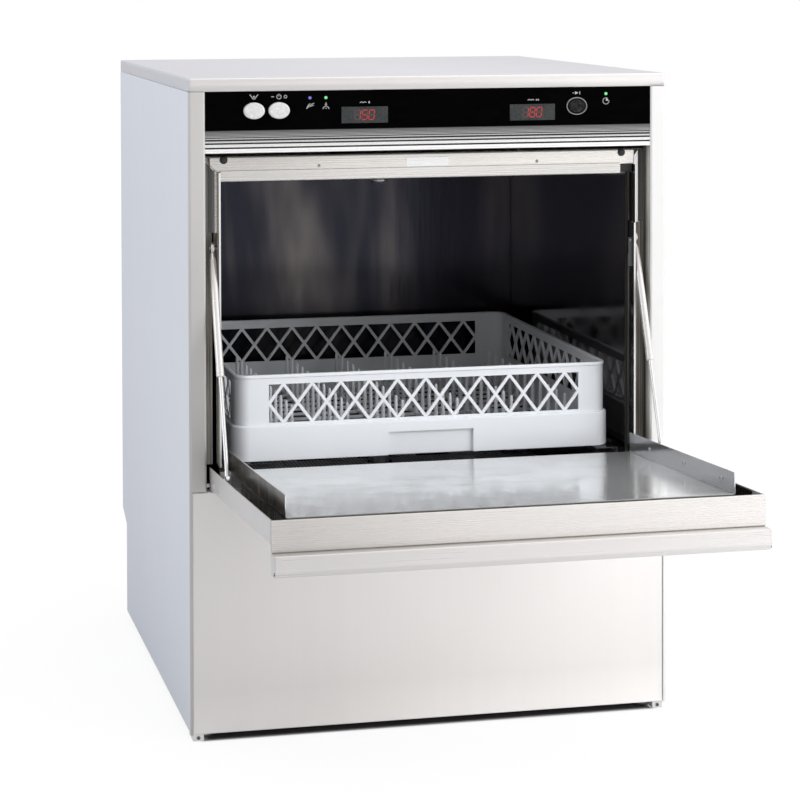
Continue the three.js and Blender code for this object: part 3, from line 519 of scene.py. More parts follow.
def strip(pts, t, side=1.0):
    """Closed profile of a sheet of thickness t laid on one side of a polyline (side +1 left, -1 right, 0 centred)."""
    n = len(pts)
    nrm = []
    for i in range(n):
        a = Vector(pts[max(0, i - 1)])
        b = Vector(pts[min(n - 1, i + 1)])
        if 0 < i < n - 1:
            d1 = (Vector(pts[i]) - a).normalized()
            d2 = (b - Vector(pts[i])).normalized()
            n1, n2 = Vector((-d1.y, d1.x)), Vector((-d2.y, d2.x))
            m = (n1 + n2)
            m = m / max(1e-6, m.length_squared) * 2
            if m.length > 1.5:
                m = m.normalized() * 1.5
        else:
            d = (b - a).normalized()
            m = Vector((-d.y, d.x))
        nrm.append(m)
    o1, o2 = {1.0: (0, t), -1.0: (-t, 0), 0: (-t / 2, t / 2)}[side]
    A = [tuple(Vector(p) + m * o1) for p, m in zip(pts, nrm)]
    B = [tuple(Vector(p) + m * o2) for p, m in zip(pts, nrm)]
    return A + B[::-1]


def soften(bm, r, seg=2, angle=30, edges=None):
    bmesh.ops.remove_doubles(bm, verts=bm.verts, dist=1e-7)
    bmesh.ops.recalc_face_normals(bm, faces=bm.faces)
    if edges is None:
        edges = [e for e in bm.edges if len(e.link_faces) == 2 and e.calc_face_angle(0) > math.radians(angle)]
    if edges:
        bmesh.ops.bevel(bm, geom=edges, offset=r * MM, segments=seg, profile=0.5, affect="EDGES", clamp_overlap=True)
    return bm


def cuboid(bm, x0, x1, y0, y1, z0, z1):
    return prism(bm, [(x0, y0), (x1, y0), (x1, y1), (x0, y1)], "Z", z0, z1)


def rbox(name, x0, x1, y0, y1, z0, z1, r, mat, body=CAB, seg=3):
    bm = bmesh.new()
    cuboid(bm, x0, x1, y0, y1, z0, z1)
    soften(bm, r, seg)
    return add(name, bm, mat, body)


def lathe(bm, prof, axis, c, n=32):
    """Profile [(radius, height)] turned about an axis through c (the other two coordinates in axis order)."""
    rings = []
    for r, h in prof:
        if r < 1e-6:
            rings.append([bm.verts.new(place(axis, c[0], c[1], h))])
        else:
            rings.append([bm.verts.new(place(axis, c[0] + r * math.cos(2 * math.pi * k / n), c[1] + r * math.sin(2 * math.pi * k / n), h)) for k in range(n)])
    for A, B in zip(rings, rings[1:]):
        for k in range(n):
            k2 = (k + 1) % n
            if len(A) == 1 and len(B) == 1:
                continue
            if len(A) == 1:
                bm.faces.new((A[0], B[k], B[k2]))
            elif len(B) == 1:
                bm.faces.new((A[k], B[0], A[k2]))
            else:
                bm.faces.new((A[k], B[k], B[k2], A[k2]))
    for R in (rings[0], rings[-1]):
        if len(R) > 1:
            bm.faces.new(R)
    return bm


def sweep(bm, pts, r, n=12, cap=True):
    P = [Vector(p) for p in pts]
    T = []
    for i in range(len(P)):
        T.append((P[min(i + 1, len(P) - 1)] - P[max(0, i - 1)]).normalized())
    up = Vector((0, 0, 1)) if abs(T[0].z) < 0.9 else Vector((0, 1, 0))
    u = T[0].cross(up).normalized()
    rings = []
    for i, p in enumerate(P):
        u = (u - T[i] * u.dot(T[i])).normalized()
        v = T[i].cross(u)
        rr = r[i] if isinstance(r, (list, tuple)) else r
        rings.append([bm.verts.new((p + (u * math.cos(2 * math.pi * k / n) + v * math.sin(2 * math.pi * k / n)) * rr) * MM) for k in range(n)])
    for A, B in zip(rings, rings[1:]):
        for k in range(n):
            bm.faces.new((A[k], A[(k + 1) % n], B[(k + 1) % n], B[k]))
    if cap:
        bm.faces.new(rings[0][::-1])
        bm.faces.new(rings[-1])
    return bm


def round_path(pts, r, seg=6):
    """3D polyline with rounded corners."""
    P = [Vector(p) for p in pts]
    out = [P[0]]
    for i in range(1, len(P) - 1):
        a, q, b = P[i - 1], P[i], P[i + 1]
        da, db = (a - q).normalized(), (b - q).normalized()
        t = min(r, (a - q).length * 0.49, (b - q).length * 0.49)
        s, e = q + da * t, q + db * t
        for k in range(seg + 1):
            f = k / seg
            out.append(s * (1 - f) ** 2 + q * 2 * f * (1 - f) + e * f * f)
    out.append(P[-1])
    return out


def oval(cx, cy, rx, ry, n=48):
    return [(cx + rx * math.cos(2 * math.pi * i / n), cy + ry * math.sin(2 * math.pi * i / n)) for i in range(n)]


def rect(x0, x1, y0, y1):
    return [(x0, y0), (x1, y0), (x1, y1), (x0, y1)]


def pierced(outer, holes, t, edge=0.3, res=1):
    """A flat plate with holes and softly rounded edges, thickness t about z = 0. Returns a bmesh, in metres."""
    cu = bpy.data.curves.new("tmp_plate", "CURVE")
    cu.dimensions = "2D"
    cu.fill_mode = "BOTH"
    cu.extrude = max(0.0, t / 2 - edge) * MM
    cu.bevel_depth = edge * MM
    cu.bevel_resolution = res
    cu.offset = -edge * MM
    for loop in [outer] + list(holes):
        s = cu.splines.new("POLY")
        s.points.add(len(loop) - 1)
        for q, (x, y) in zip(s.points, loop):
            q.co = (x * MM, y * MM, 0, 1)
        s.use_cyclic_u = True
    ob = bpy.data.objects.new("tmp_plate", cu)
    bpy.context.scene.collection.objects.link(ob)
    dg = bpy.context.evaluated_depsgraph_get()
    me = bpy.data.meshes.new_from_object(ob.evaluated_get(dg))
    bm = bmesh.new()
    bm.from_mesh(me)
    bpy.data.objects.remove(ob)
    bpy.data.curves.remove(cu)
    bpy.data.meshes.remove(me)
    bmesh.ops.remove_doubles(bm, verts=bm.verts, dist=2e-6)
    return bm


def moved(bm, mat):
    bmesh.ops.transform(bm, matrix=mat, verts=bm.verts)
    return bm


def basis(origin, ux, uy, uz):
    """Matrix that puts local x, y, z along the given row-frame directions at origin (mm)."""
    m = Matrix.Identity(4)
    for i, v in enumerate((ux, uy, uz)):
        for k in range(3):
            m[k][i] = v[k]
    for k in range(3):
        m[k][3] = origin[k] * MM
    return m


FRONT_PLANE = lambda y: basis((0, y, 0), (1, 0, 0), (0, 0, 1), (0, -1, 0))


def merge(bm, other):
    me = bpy.data.meshes.new("tmp_merge")
    other.to_mesh(me)
    other.free()
    bm.from_mesh(me)
    bpy.data.meshes.remove(me)
    return bm


def screw(name, axis, c, h, out, r=4.2, mat=None, body=CAB, drive="cross"):
    """Pan-head screw: domed head on a face at height h along an axis, pointing out (+1 or -1)."""
    bm = bmesh.new()
    prof = [(0, h - out * 0.2), (r, h - out * 0.2), (r, h + out * 0.5), (r * 0.9, h + out * 1.2), (r * 0.6, h + out * 1.75), (r * 0.3, h + out * 1.95)]
    lathe(bm, prof + [(0, h + out * 2.0)], axis, c, 24)
    soften(bm, 0.15, 1, 40)
    add(name, bm, mat or M_ZINC, body)
    # painted shade: the cross recess is a near-black inlay standing in for the shade in the drive
    bm = bmesh.new()
    k = r * 0.55
    for a in ((k, k * 0.22), (k * 0.22, k)):
        prism(bm, rect(c[0] - a[0], c[0] + a[0], c[1] - a[1], c[1] + a[1]), axis, h + out * 1.5, h + out * 2.06)
    add(name + "_recess", bm, M_DARK, body)


# ------------------------------------------------------------------ carried-over CAD nodes
def paint(names, mat, bevel=None):
    for n in names.split():
        o = N[n]
        o.data.materials.clear()
        o.data.materials.append(mat)
        o.data.polygons.foreach_set("use_smooth", [True] * len(o.data.polygons))
        o.data.set_sharp_from_angle(angle=math.radians(30))
        if bevel:
            m = o.modifiers.new("edge", "BEVEL")
            m.width = bevel * MM
            m.segments = 2
            m.limit_method = "ANGLE"
            m.angle_limit = math.radians(32)
            m.harden_normals = False


paint("base_tray rear_panel_lower", M_REAR)
paint("chamber_left_wall chamber_right_wall chamber_ceiling wash_tank", M_WALL)
paint("chamber_rear_wall", M_REARWALL)
paint("rack_rail_left rack_rail_right", M_BRIGHT)
paint("tank_filter", M_FILTER)
paint("tank_heater", M_HEATER)
paint("overflow_standpipe", M_PIPE, 0.8)
paint("lower_arm_spindle upper_arm_spindle hinge_pivot_left hinge_pivot_right", M_ZINC, 0.3)
paint("wash_pump", M_MOTOR, 1.2)
paint("drain_pump dosing_pump", M_PUMP, 1.2)
paint("rinse_booster", M_BOILER, 1.0)
paint("upper_feed_pipe drain_outlet cable_gland", M_HOSE)
paint("inlet_valve", M_VALVE, 1.0)
paint("control_board", M_PCB, 0.3)
paint("fill_indicator", M_BLUE)
paint("heat_indicator ready_indicator", M_GREEN)

# ------------------------------------------------------------------ cabinet shells
X0, X1, YF, YR, Z0, Z1 = bx("top_panel")
SX0, SX1, SYF, SYR, SZ0, SZ1 = bx("left_side_panel")
JX0, JX1, JY0, JY1, JZ0, JZ1 = bx("left_front_jamb")
PX0, PX1, PY0, PY1, PZ0, PZ1 = bx("front_lower_panel")
LZ = bx("rear_panel_upper")[4]
T = 1.5

# side shells: one folded sheet per side, rounded at the front corner, hemmed back at the jamb;
# the return is narrow below the sill, where the lower front panel stands between the folds
for s, tag in ((-1, "left"), (1, "right")):
    mat = M_SIDE if s < 0 else M_SIDE_R

    def fold(jamb):
        p = [(s * 300, YF + 6), (s * 300, YF), (s * jamb, YF)]
        if jamb < 290:
            p += [(s * jamb, YF + 26)]
            rad = [0, 2.6, 1.6, 0]
        else:
            rad = [0, 2.6, 0]
        return strip(fillet(p, rad, 6), T, -1.0 if s < 0 else 1.0)

    xs = (s * 300, s * (300 - T))
    bm = bmesh.new()
    # the sheet stops short below the rear step, with a sloping cut between
    prism(bm, [(YF + 6, 0), (276, 0), (276, 125), (YR - 0.2, 141), (YR - 0.2, SZ1), (YF + 6, SZ1)], "X", min(xs), max(xs))
    soften(bm, 0.35, 2, 50, [e for e in bm.edges if not all(abs(v.co.y - (YF + 6) * MM) < 1e-5 for v in e.verts)])
    for jamb, za, zb in ((281.5, PZ1 + 0.5, SZ1), (297.6, 0, PZ1 + 0.5)):
        bm2 = bmesh.new()
        prism(bm2, fold(jamb), "Z", za, zb)
        merge(bm, bm2)
    # bottom return that carries the feet
    bm2 = bmesh.new()
    cuboid(bm2, min(s * 299, s * 264), max(s * 299, s * 264), -304.5, 272, 4, 6)
    soften(bm2, 0.35, 2, 50)
    merge(bm, bm2)
    ob = add(tag + "_side_shell", bm, [mat, M_JAMB if s < 0 else M_JAMB_R, M_LEG_R], CAB)
    # the part of the fold that faces front takes the front finish, a differently toned copy on each side as painted
    # light; the inward returns beside the mouth take the painted reflection streaks
    for p in ob.data.polygons:
        if p.normal.y < -0.6 and p.center.y < (YF + 4) * MM:
            p.material_index = 1
        elif abs(p.normal.x) > 0.8 and abs(p.center.x) < 282 * MM and p.center.y < -285 * MM:
            p.material_index = 2
    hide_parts(tag + "_side_panel", tag + "_front_jamb")

# top: a shallow folded lid, rounded over on all edges
bm = bmesh.new()
cuboid(bm, X0, X1, YF, YR, Z0, Z1)
bmesh.ops.recalc_face_normals(bm, faces=bm.faces)
vert = [e for e in bm.edges if abs((e.verts[0].co - e.verts[1].co).z) > 1e-4]
bmesh.ops.bevel(bm, geom=vert, offset=3.2 * MM, segments=6, profile=0.5, affect="EDGES")
bmesh.ops.delete(bm, geom=[f for f in bm.faces if f.normal.z < -0.9], context="FACES")
top_e = [e for e in bm.edges if len(e.link_faces) == 2 and abs(e.verts[0].co.z - Z1 * MM) < 1e-6 and abs(e.verts[1].co.z - Z1 * MM) < 1e-6]
bmesh.ops.bevel(bm, geom=top_e, offset=2.2 * MM, segments=5, profile=0.5, affect="EDGES")
top = add("top_lid", bm, [M_TOP, M_TOP_EDGE, M_TOP_SIDE], CAB)
# painted light: faces are split by facing so the front edge and the sides take their own toned copies of the lid steel
for p in top.data.polygons:
    if p.normal.y < -0.7:
        p.material_index = 1
    elif abs(p.normal.x) > 0.7:
        p.material_index = 2
sol = top.modifiers.new("thick", "SOLIDIFY")
sol.thickness = 1.5 * MM
sol.offset = -1
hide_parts("top_panel")

# lower front panel: folded edges
bm = bmesh.new()
prof = fillet([(PY1, PZ0), (PY0, PZ0), (PY0, PZ1), (PY1, PZ1)], 1.8, 5)
prism(bm, strip(prof, T, -1.0), "X", -297.3, 297.3)
soften(bm, 0.3, 2, 60)
ob = add("lower_front_cover", bm, M_FRONT, CAB)
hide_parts("front_lower_panel")
bm = bmesh.new()
for s in (-1, 1):
    cuboid(bm, min(s * 297.3, s * 295.8), max(s * 297.3, s * 295.8), PY0 + 2.2, PY1, PZ0 + 2, PZ1 - 2)
add("lower_front_cover_returns", bm, M_FRONT, CAB)

# rear cover with a pressed border and screws round it
RX0, RX1, RY0, RY1, RZ0, RZ1 = bx("rear_panel_upper")
bm = bmesh.new()
prism(bm, rect(RX0, RX1, RZ0, RZ1), "Y", RY1 - 1.2, RY1)
face = [f for f in bm.faces if f.calc_center_median().y > (RY1 - 0.1) * MM]
r1 = bmesh.ops.inset_region(bm, faces=face, thickness=26 * MM)
r2 = bmesh.ops.inset_region(bm, faces=face, thickness=4 * MM)
for v in {v for f in face for v in f.verts}:
    v.co.y -= 0.9 * MM
soften(bm, 0.3, 2, 15)
ob = add("rear_cover", bm, M_REAR, CAB, 20)
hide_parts("rear_panel_upper")
k = 0
for x in (-284, -95, 95, 284):
    for z in (RZ0 + 13, RZ1 - 13):
        k += 1
        screw(f"rear_screw_{k}", "Y", (x, z), RY1 - 0.4, 1)
for z in (300, 460, 620):
    for x in (-284, 284):
        k += 1
        screw(f"rear_screw_{k}", "Y", (x, z), RY1 - 0.4, 1)

# ------------------------------------------------------------------ control fascia
GX0, GX1, GY0, GY1, GZ0, GZ1 = bx("control_fascia")
btn = {n: bx(n) for n in ("drain_button", "power_button", "start_button")}
holes = []
for n, b in btn.items():
    holes.append(oval((b[0] + b[1]) / 2, (b[4] + b[5]) / 2, (b[1] - b[0]) / 2 + 0.4, (b[5] - b[4]) / 2 + 0.4))
dsp = {n: bx(n) for n in ("wash_display", "rinse_display")}
for b in dsp.values():
    holes.append(rect(b[0] - 0.25, b[1] + 0.25, b[4] - 0.25, b[5] + 0.25))
led = {n: bx(n) for n in ("fill_indicator", "heat_indicator", "ready_indicator")}
for b in led.values():
    holes.append(oval((b[0] + b[1]) / 2, (b[4] + b[5]) / 2, 2.1, 2.1, 24))
bm = pierced(rect(GX0, GX1, GZ0, GZ1), holes, GY1 - GY0, 0.25, 1)
moved(bm, FRONT_PLANE((GY0 + GY1) / 2))
ob = add("fascia_glass", bm, M_GLASS, CAB)
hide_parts("control_fascia")
# dark backing behind the glass so no light shows through the joints
rbox("fascia_backing", GX0 + 1, GX1 - 1, GY1 + 8.6, GY1 + 9.6, 700, GZ1 - 1, 0.2, M_DARK, CAB)

for n, b in btn.items():
    cx, cz = (b[0] + b[1]) / 2, (b[4] + b[5]) / 2
    rx, rz = (b[1] - b[0]) / 2, (b[5] - b[4]) / 2
    y0 = b[2]
    bm = bmesh.new()
    rings = []
    dish = n == "start_button"
    steps = [(1.0, b[3]), (1.0, y0 + 1.8), (0.985, y0 + 1.1), (0.95, y0 + 0.55), (0.89, y0 + 0.22), (0.8, y0 + 0.05)]
    steps += [(0.6, y0 + (0.25 if dish else 0.0)), (0.35, y0 + (0.5 if dish else 0.0)), (0.12, y0 + (0.6 if dish else 0.0))]
    for f, y in steps:
        rings.append([bm.verts.new(place("Y", u, v, y)) for u, v in oval(cx, cz, rx * f, rz * f, 56)])
    for A, B in zip(rings, rings[1:]):
        for i in range(56):
            bm.faces.new((A[i], A[(i + 1) % 56], B[(i + 1) % 56], B[i]))
    bm.faces.new(rings[0])
    bm.faces.new(rings[-1])
    ob = add(n + "_cap", bm, M_BTN_BLACK if dish else M_BTN, n + "_body", 50)
    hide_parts(n)
# light ring round the start button
b = btn["start_button"]
cx, cz = (b[0] + b[1]) / 2, (b[4] + b[5]) / 2
bm = pierced(oval(cx, cz, 13.4, 11.0, 64), [oval(cx, cz, 11.9, 9.5, 64)], 1.8, 0.6, 3)
moved(bm, FRONT_PLANE(GY0 - 0.95))
add("start_ring", bm, M_RING, CAB, 60)

SEG = {"0": "abcdef", "1": "bc", "2": "abged", "3": "abgcd", "4": "fgbc", "5": "afgcd", "6": "afgedc", "7": "abc", "8": "abcdefg", "9": "abcdfg"}


def digits(name, text, cx, cz, y, h=11.6, w=6.4, pitch=8.6):
    lit, off = bmesh.new(), bmesh.new()
    t = 1.25
    sl = 0.10
    for i, ch in enumerate(text):
        x = cx + (i - (len(text) - 1) / 2) * pitch
        half = h / 2
        bars = {
            "a": [(-w / 2 + 0.3, half), (w / 2 - 0.3, half)], "d": [(-w / 2 + 0.3, -half), (w / 2 - 0.3, -half)], "g": [(-w / 2 + 0.3, 0), (w / 2 - 0.3, 0)],
            "f": [(-w / 2, half - 0.4), (-w / 2, 0.4)], "b": [(w / 2, half - 0.4), (w / 2, 0.4)],
            "e": [(-w / 2, -0.4), (-w / 2, -half + 0.4)], "c": [(w / 2, -0.4), (w / 2, -half + 0.4)]}
        for kx, (p, q) in bars.items():
            p, q = Vector(p), Vector(q)
            d = (q - p).normalized()
            nn = Vector((-d.y, d.x)) * t / 2
            e = d * t / 2
            poly = [p + e * 0.2, p + e + nn, q - e + nn, q - e * 0.2, q - e - nn, p + e - nn]
            poly = [(x + v.x + v.y * sl, cz + v.y) for v in poly]
            prism(lit if kx in SEG[ch] else off, poly, "Y", y - 0.12, y + 0.4)
    add(name + "_segments", lit, M_SEG, CAB)
    add(name + "_segments_unlit", off, M_SEG_OFF, CAB)


for n, txt in (("wash_display", "150"), ("rinse_display", "180")):
    b = dsp[n]
    bm = bmesh.new()
    cuboid(bm, b[0], b[1], b[2], b[3], b[4], b[5])
    soften(bm, 0.4, 2)
    ob = add(n + "_window", bm, M_WINDOW, CAB)
    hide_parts(n)
    digits(n, txt, (b[0] + b[1]) / 2, (b[4] + b[5]) / 2, b[2])


def print_bm(name, parts):
    """Thin printed legend: list of (x, z) outlines standing 0.12 mm off the glass."""
    bm = bmesh.new()
    for p in parts:
        prism(bm, p, "Y", GY0 - 0.12, GY0 + 0.05)
    add(name, bm, M_INK, CAB)


def line(x0, z0, x1, z1, w=0.55):
    p, q = Vector((x0, z0)), Vector((x1, z1))
    d = (q - p).normalized()
    nn = Vector((-d.y, d.x)) * w / 2
    return [tuple(v) for v in (p + nn, q + nn, q - nn, p - nn)]


def arc(cx, cz, r, a0, a1, w=0.6, n=14):
    A = [(cx + (r + w / 2) * math.cos(math.radians(a0 + (a1 - a0) * i / n)), cz + (r + w / 2) * math.sin(math.radians(a0 + (a1 - a0) * i / n))) for i in range(n + 1)]
    B = [(cx + (r - w / 2) * math.cos(math.radians(a0 + (a1 - a0) * i / n)), cz + (r - w / 2) * math.sin(math.radians(a0 + (a1 - a0) * i / n))) for i in range(n + 1)]
    return A + B[::-1]


def mid(b):
    return (b[0] + b[1]) / 2, (b[4] + b[5]) / 2


# icons: drain funnel, power sign, tap, heat, thermometers, start triangle, ready tick-dial
cx, cz = mid(btn["drain_button"])
z = cz + 16.6
print_bm("icon_drain", [line(cx - 5, z + 3, cx - 2.2, z - 0.6, 0.9), line(cx + 5, z + 3, cx + 2.2, z - 0.6, 0.9),
                        line(cx - 1.2, z - 2.6, cx - 2.4, z - 0.4, 0.8), line(cx + 1.2, z - 2.6, cx + 2.4, z - 0.4, 0.8),
                        oval(cx, z + 0.4, 0.9, 1.2, 12), line(cx, z - 1.0, cx, z - 3.2, 0.7)])
cx, cz = mid(btn["power_button"])
z = cz + 16.6
print_bm("icon_power", [arc(cx, z, 2.7, 120, 420, 0.75, 20), line(cx, z + 0.4, cx, z + 3.6, 0.8),
                        line(cx - 9.5, z, cx - 6, z, 0.8), arc(cx + 8, z, 1.7, 0, 359, 0.7, 16)])
cx, cz = mid(led["fill_indicator"])
z = cz - 9.5
print_bm("icon_fill", [line(cx - 4.5, z - 3.4, cx + 3.2, z + 2.6, 0.9), line(cx - 2.6, z + 0.4, cx + 0.2, z + 2.8, 0.7),
                       line(cx + 0.6, z - 1.0, cx + 4.6, z + 0.8, 0.7), line(cx - 3.8, z - 1.2, cx - 1.4, z + 0.6, 0.6), line(cx + 1.6, z + 1.2, cx + 5, z + 3.0, 0.7)])
cx, cz = mid(led["heat_indicator"])
z = cz - 9.5
print_bm("icon_heat", [line(cx, z + 3.6, cx, z - 0.6, 1.0), line(cx, z - 0.4, cx - 3.6, z - 2.6, 0.7), line(cx, z - 0.4, cx + 3.6, z - 2.6, 0.7),
                       oval(cx - 3.6, z - 3.6, 0.6, 0.6, 10), oval(cx, z - 3.4, 0.6, 0.6, 10), oval(cx + 3.6, z - 3.6, 0.6, 0.6, 10), oval(cx, z + 1.2, 1.3, 1.3, 12)])
for n in ("wash_display", "rinse_display"):
    cx, cz = mid(dsp[n])
    z = cz + 15.0
    wv = [line(cx - 6, z - 0.4, cx - 4, z + 1.0, 0.7), line(cx - 4, z + 1.0, cx - 2, z - 0.4, 0.7), line(cx - 2, z - 0.4, cx, z + 1.0, 0.7), line(cx, z + 1.0, cx + 2, z - 0.4, 0.7)]
    print_bm("icon_" + n, wv + ([oval(cx + 5.4, z + 0.2, 0.9, 1.4, 12)] if n == "wash_display" else [oval(cx + 5, z + 0.2, 0.7, 1.1, 12), oval(cx + 7.4, z + 0.2, 0.7, 1.1, 12)]))
cx, cz = mid(btn["start_button"])
z = cz + 16.2
print_bm("icon_start", [[(cx - 1.8, z + 2.0), (cx + 2.4, z), (cx - 1.8, z - 2.0)], line(cx + 4.2, z + 2.0, cx + 4.2, z - 2.0, 0.8), line(cx - 5.0, z, cx - 3.0, z, 0.8)])
cx, cz = mid(led["ready_indicator"])
z = cz - 9.0
print_bm("icon_ready", [arc(cx, z, 3.9, 60, 375, 0.6, 22), [(cx, z)] + [(cx + 3.2 * math.cos(math.radians(a)), z + 3.2 * math.sin(math.radians(a))) for a in (10, 30, 50, 70, 88)]])

# ribbed trim
TX0, TX1, TY0, TY1, TZ0, TZ1 = bx("fascia_trim")
bm = bmesh.new()
band = 718.4
ribs = []
zt = band - 0.6
heights = [1.8, 2.4, 3.7, 5.3]
gap = 1.65
for h in heights:
    ribs.append((zt, zt - h))
    zt -= h + gap
prof = [(TY1, TZ1), (TY0 + 0.5, TZ1), (TY0 + 0.2, TZ1 - 0.4), (TY0 + 0.2, band)]
for a, b_ in ribs:
    m_, hh = (a + b_) / 2, (a - b_) / 2
    prof += [(TY0 + 1.8, a + 0.35)]
    for k in range(9):
        th = math.radians(90 - 180 * k / 8)
        prof.append((TY0 + 1.1 - 1.0 * max(0, math.cos(th)) ** 0.7, m_ + hh * math.sin(th)))
    prof += [(TY0 + 1.8, b_ - 0.35)]
prof += [(TY0 + 1.8, TZ0), (TY1, TZ0)]
prism(bm, prof, "X", TX0, TX1)
ob = add("fascia_trim_ribs", bm, [M_TRIM, M_BAND, M_GROOVE], CAB, 40)
# painted shade: the recessed faces between the ribs take the near-black groove finish
for p in ob.data.polygons:
    c = p.center / MM
    if abs(p.normal.x) > 0.5:
        continue
    if c.z > band - 0.2:
        p.material_index = 1
    elif c.y > TY0 + 1.2:
        p.material_index = 2
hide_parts("fascia_trim")

# ------------------------------------------------------------------ chamber mouth
HF = -303.5                    # header's upper face
HB0, HS, HT1 = 665.4, 676.8, 693.6   # header: bottom, crease, top


def mitred(name, prof, xl, xr, mat):
    """Profile (y, z) run along X between end lines that depend on height."""
    bm = bmesh.new()
    va = [bm.verts.new(Vector((xl(z), y, z)) * MM) for y, z in prof]
    vb = [bm.verts.new(Vector((xr(z), y, z)) * MM) for y, z in prof]
    n = len(prof)
    for i in range(n):
        bm.faces.new((va[i], va[(i + 1) % n], vb[(i + 1) % n], vb[i]))
    bm.faces.new(va[::-1])
    bm.faces.new(vb)
    soften(bm, 0.2, 2, 50)
    return add(name, bm, mat, CAB)


mitre = lambda z: min(272.0, 264.2 + max(0.0, z - HS) * 0.98)
up = fillet([(-284, HT1), (HF, HT1), (HF, 684.8), (HF, HS), (HF - 1.4, HS - 0.2)], [0, 1.4, 0, 0.5, 0], 5)
ob = mitred("mouth_header", strip(up, 1.2, -1.0), lambda z: -mitre(z), lambda z: 264.0, M_FRAME)
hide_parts("upper_cross_member")
low = fillet([(HF - 0.6, HS), (HF - 2.2, HS), (HF - 2.2, HB0), (-294.0, HB0)], [0, 0.8, 1.6, 0], 5)
mitred("mouth_header_step", strip(low, 1.2, -1.0), lambda z: -259.6, lambda z: 245.8, M_FRAME_LOW)
# rubber block let into the right end of the step
rbox("mouth_corner_block", 246.6, 262.0, HF - 1.9, -294.5, HB0 + 0.6, HS - 0.8, 1.0, M_SEAL, CAB)
# web that ties the header back to the ceiling, finished with painted reflection streaks
bm = bmesh.new()
prism(bm, [(-287.4, 669.2), (-286.4, 669.2), (-286.4, 694.0), (-287.4, 694.0)], "X", -280.5, 280.5)
add("mouth_header_web", bm, M_POCKET, CAB)
for s, tag in ((-1, "left"), (1, "right")):
    # side frame: narrow flat beside the mouth, then a bevel that falls back to the jamb
    bm = bmesh.new()
    fl = 266.3 if s < 0 else 269.2
    prof = fillet([(s * 281.0, -288.4), (s * 281.0, -291.6), (s * 272.4, -292.4), (s * fl, -304.3), (s * 263.6, -304.6), (s * 263.6, -293.6)], [0, 1.2, 1.6, 0.5, 0.8, 0], 5)
    prof = strip(prof, 0.9, -1.0 if s < 0 else 1.0)
    lo = [bm.verts.new(Vector((x, y, 603.0)) * MM) for x, y in prof]
    hi = [bm.verts.new(Vector((x, y, min(692.8, HS - 1.0 + max(0.0, abs(x) - 264.2) * (1.0 if s < 0 else 50.0)))) * MM) for x, y in prof]
    n = len(prof)
    for i in range(n):
        bm.faces.new((lo[i], lo[(i + 1) % n], hi[(i + 1) % n], hi[i]))
    bm.faces.new(lo[::-1])
    bm.faces.new(hi)
    # painted light: the left leg takes its dark shaded copy with painted glow and its front flat the header steel; the
    # right leg takes the painted reflection streaks and its front flat the painted highlight finish
    ob = add("mouth_frame_" + tag + "_upper", bm, [M_LEG if s < 0 else M_LEG_R, M_FRAME if s < 0 else M_EDGE_HIGHLIGHT], CAB)
    for p in ob.data.polygons:
        if p.normal.y < -0.9 and abs(p.center.x) < (fl + 0.2) * MM:
            p.material_index = 1
    # folded edge of the chamber wall, standing forward beside the strut; the header ends against its upper part
    for part, za, zb in (("lower", 321.0, 603.0), ("upper", 603.0, 676.0)):
        bm = bmesh.new()
        x0, x1 = sorted((s * (260.9 if s < 0 or part == "lower" else 262.3), s * 263.15))
        cuboid(bm, x0, x1, -315.6, -303.2, za, zb)
        soften(bm, 0.2, 2, 50, [e for e in bm.edges if abs((e.verts[0].co - e.verts[1].co).z) > 1e-3])
        # painted reflection on the lower parts' pocket finish and painted highlight on the front faces
        ob = add(f"mouth_edge_{tag}_{part}", bm, [M_POCKET if part == "lower" else M_FRAME, M_EDGE_HIGHLIGHT, M_WALL], CAB)
        for p in ob.data.polygons:
            if p.center.y < -315.0 * MM:
                p.material_index = 1
            elif p.normal.x * s < -0.7:
                p.material_index = 2
    bm = bmesh.new()
    x0, x1 = sorted((s * 262.55, s * 263.15))
    cuboid(bm, x0, x1, -303.2, -292.0, 321.0, 664.8)
    add("mouth_edge_" + tag + "_web", bm, M_WALL, CAB)
    # pocket back wall and jamb lining behind each strut, finished with painted reflection streaks
    bm = bmesh.new()
    cuboid(bm, min(s * 297, s * 263.4), max(s * 297, s * 263.4), -263, -262, 315, 690)
    x0, x1 = sorted((s * 283.2, s * 283.9))
    cuboid(bm, x0, x1, -294, -262, 330, 690)
    add("strut_pocket_" + tag, bm, M_POCKET, CAB)
# painted highlight: a bright strip along the left mitre
bm = bmesh.new()
prism(bm, [(-265.0, 676.7), (-271.4, 683.2), (-272.2, 682.4), (-265.8, 675.9)], "Y", HF - 0.45, HF + 0.3)
soften(bm, 0.12, 1, 50)
add("mouth_mitre_edge", bm, M_EDGE_HIGHLIGHT, CAB)
# the mitre carries on to the jamb on a set-back plate, clear of the closed door's side
bm = bmesh.new()
prism(bm, [(-269.8, 683.4), (-269.8, 693.0), (-280.9, 693.0), (-280.9, 692.7)], "Y", -293.0, -292.5)
add("mouth_mitre_plate", bm, M_FRAME, CAB)
# painted highlight: a bright strip along the plate's mitre edge
bm = bmesh.new()
prism(bm, [(-269.8, 683.4), (-280.9, 692.7), (-280.9, 691.6), (-269.8, 682.3)], "Y", -293.3, -292.6)
add("mouth_mitre_plate_edge", bm, M_EDGE_HIGHLIGHT, CAB)
# strike plate, bumpers and screws on the header
rbox("strike_plate", -29, 24.5, HF - 1.5, HF - 0.1, 678.2, 690.0, 0.5, M_STRIKE, CAB)
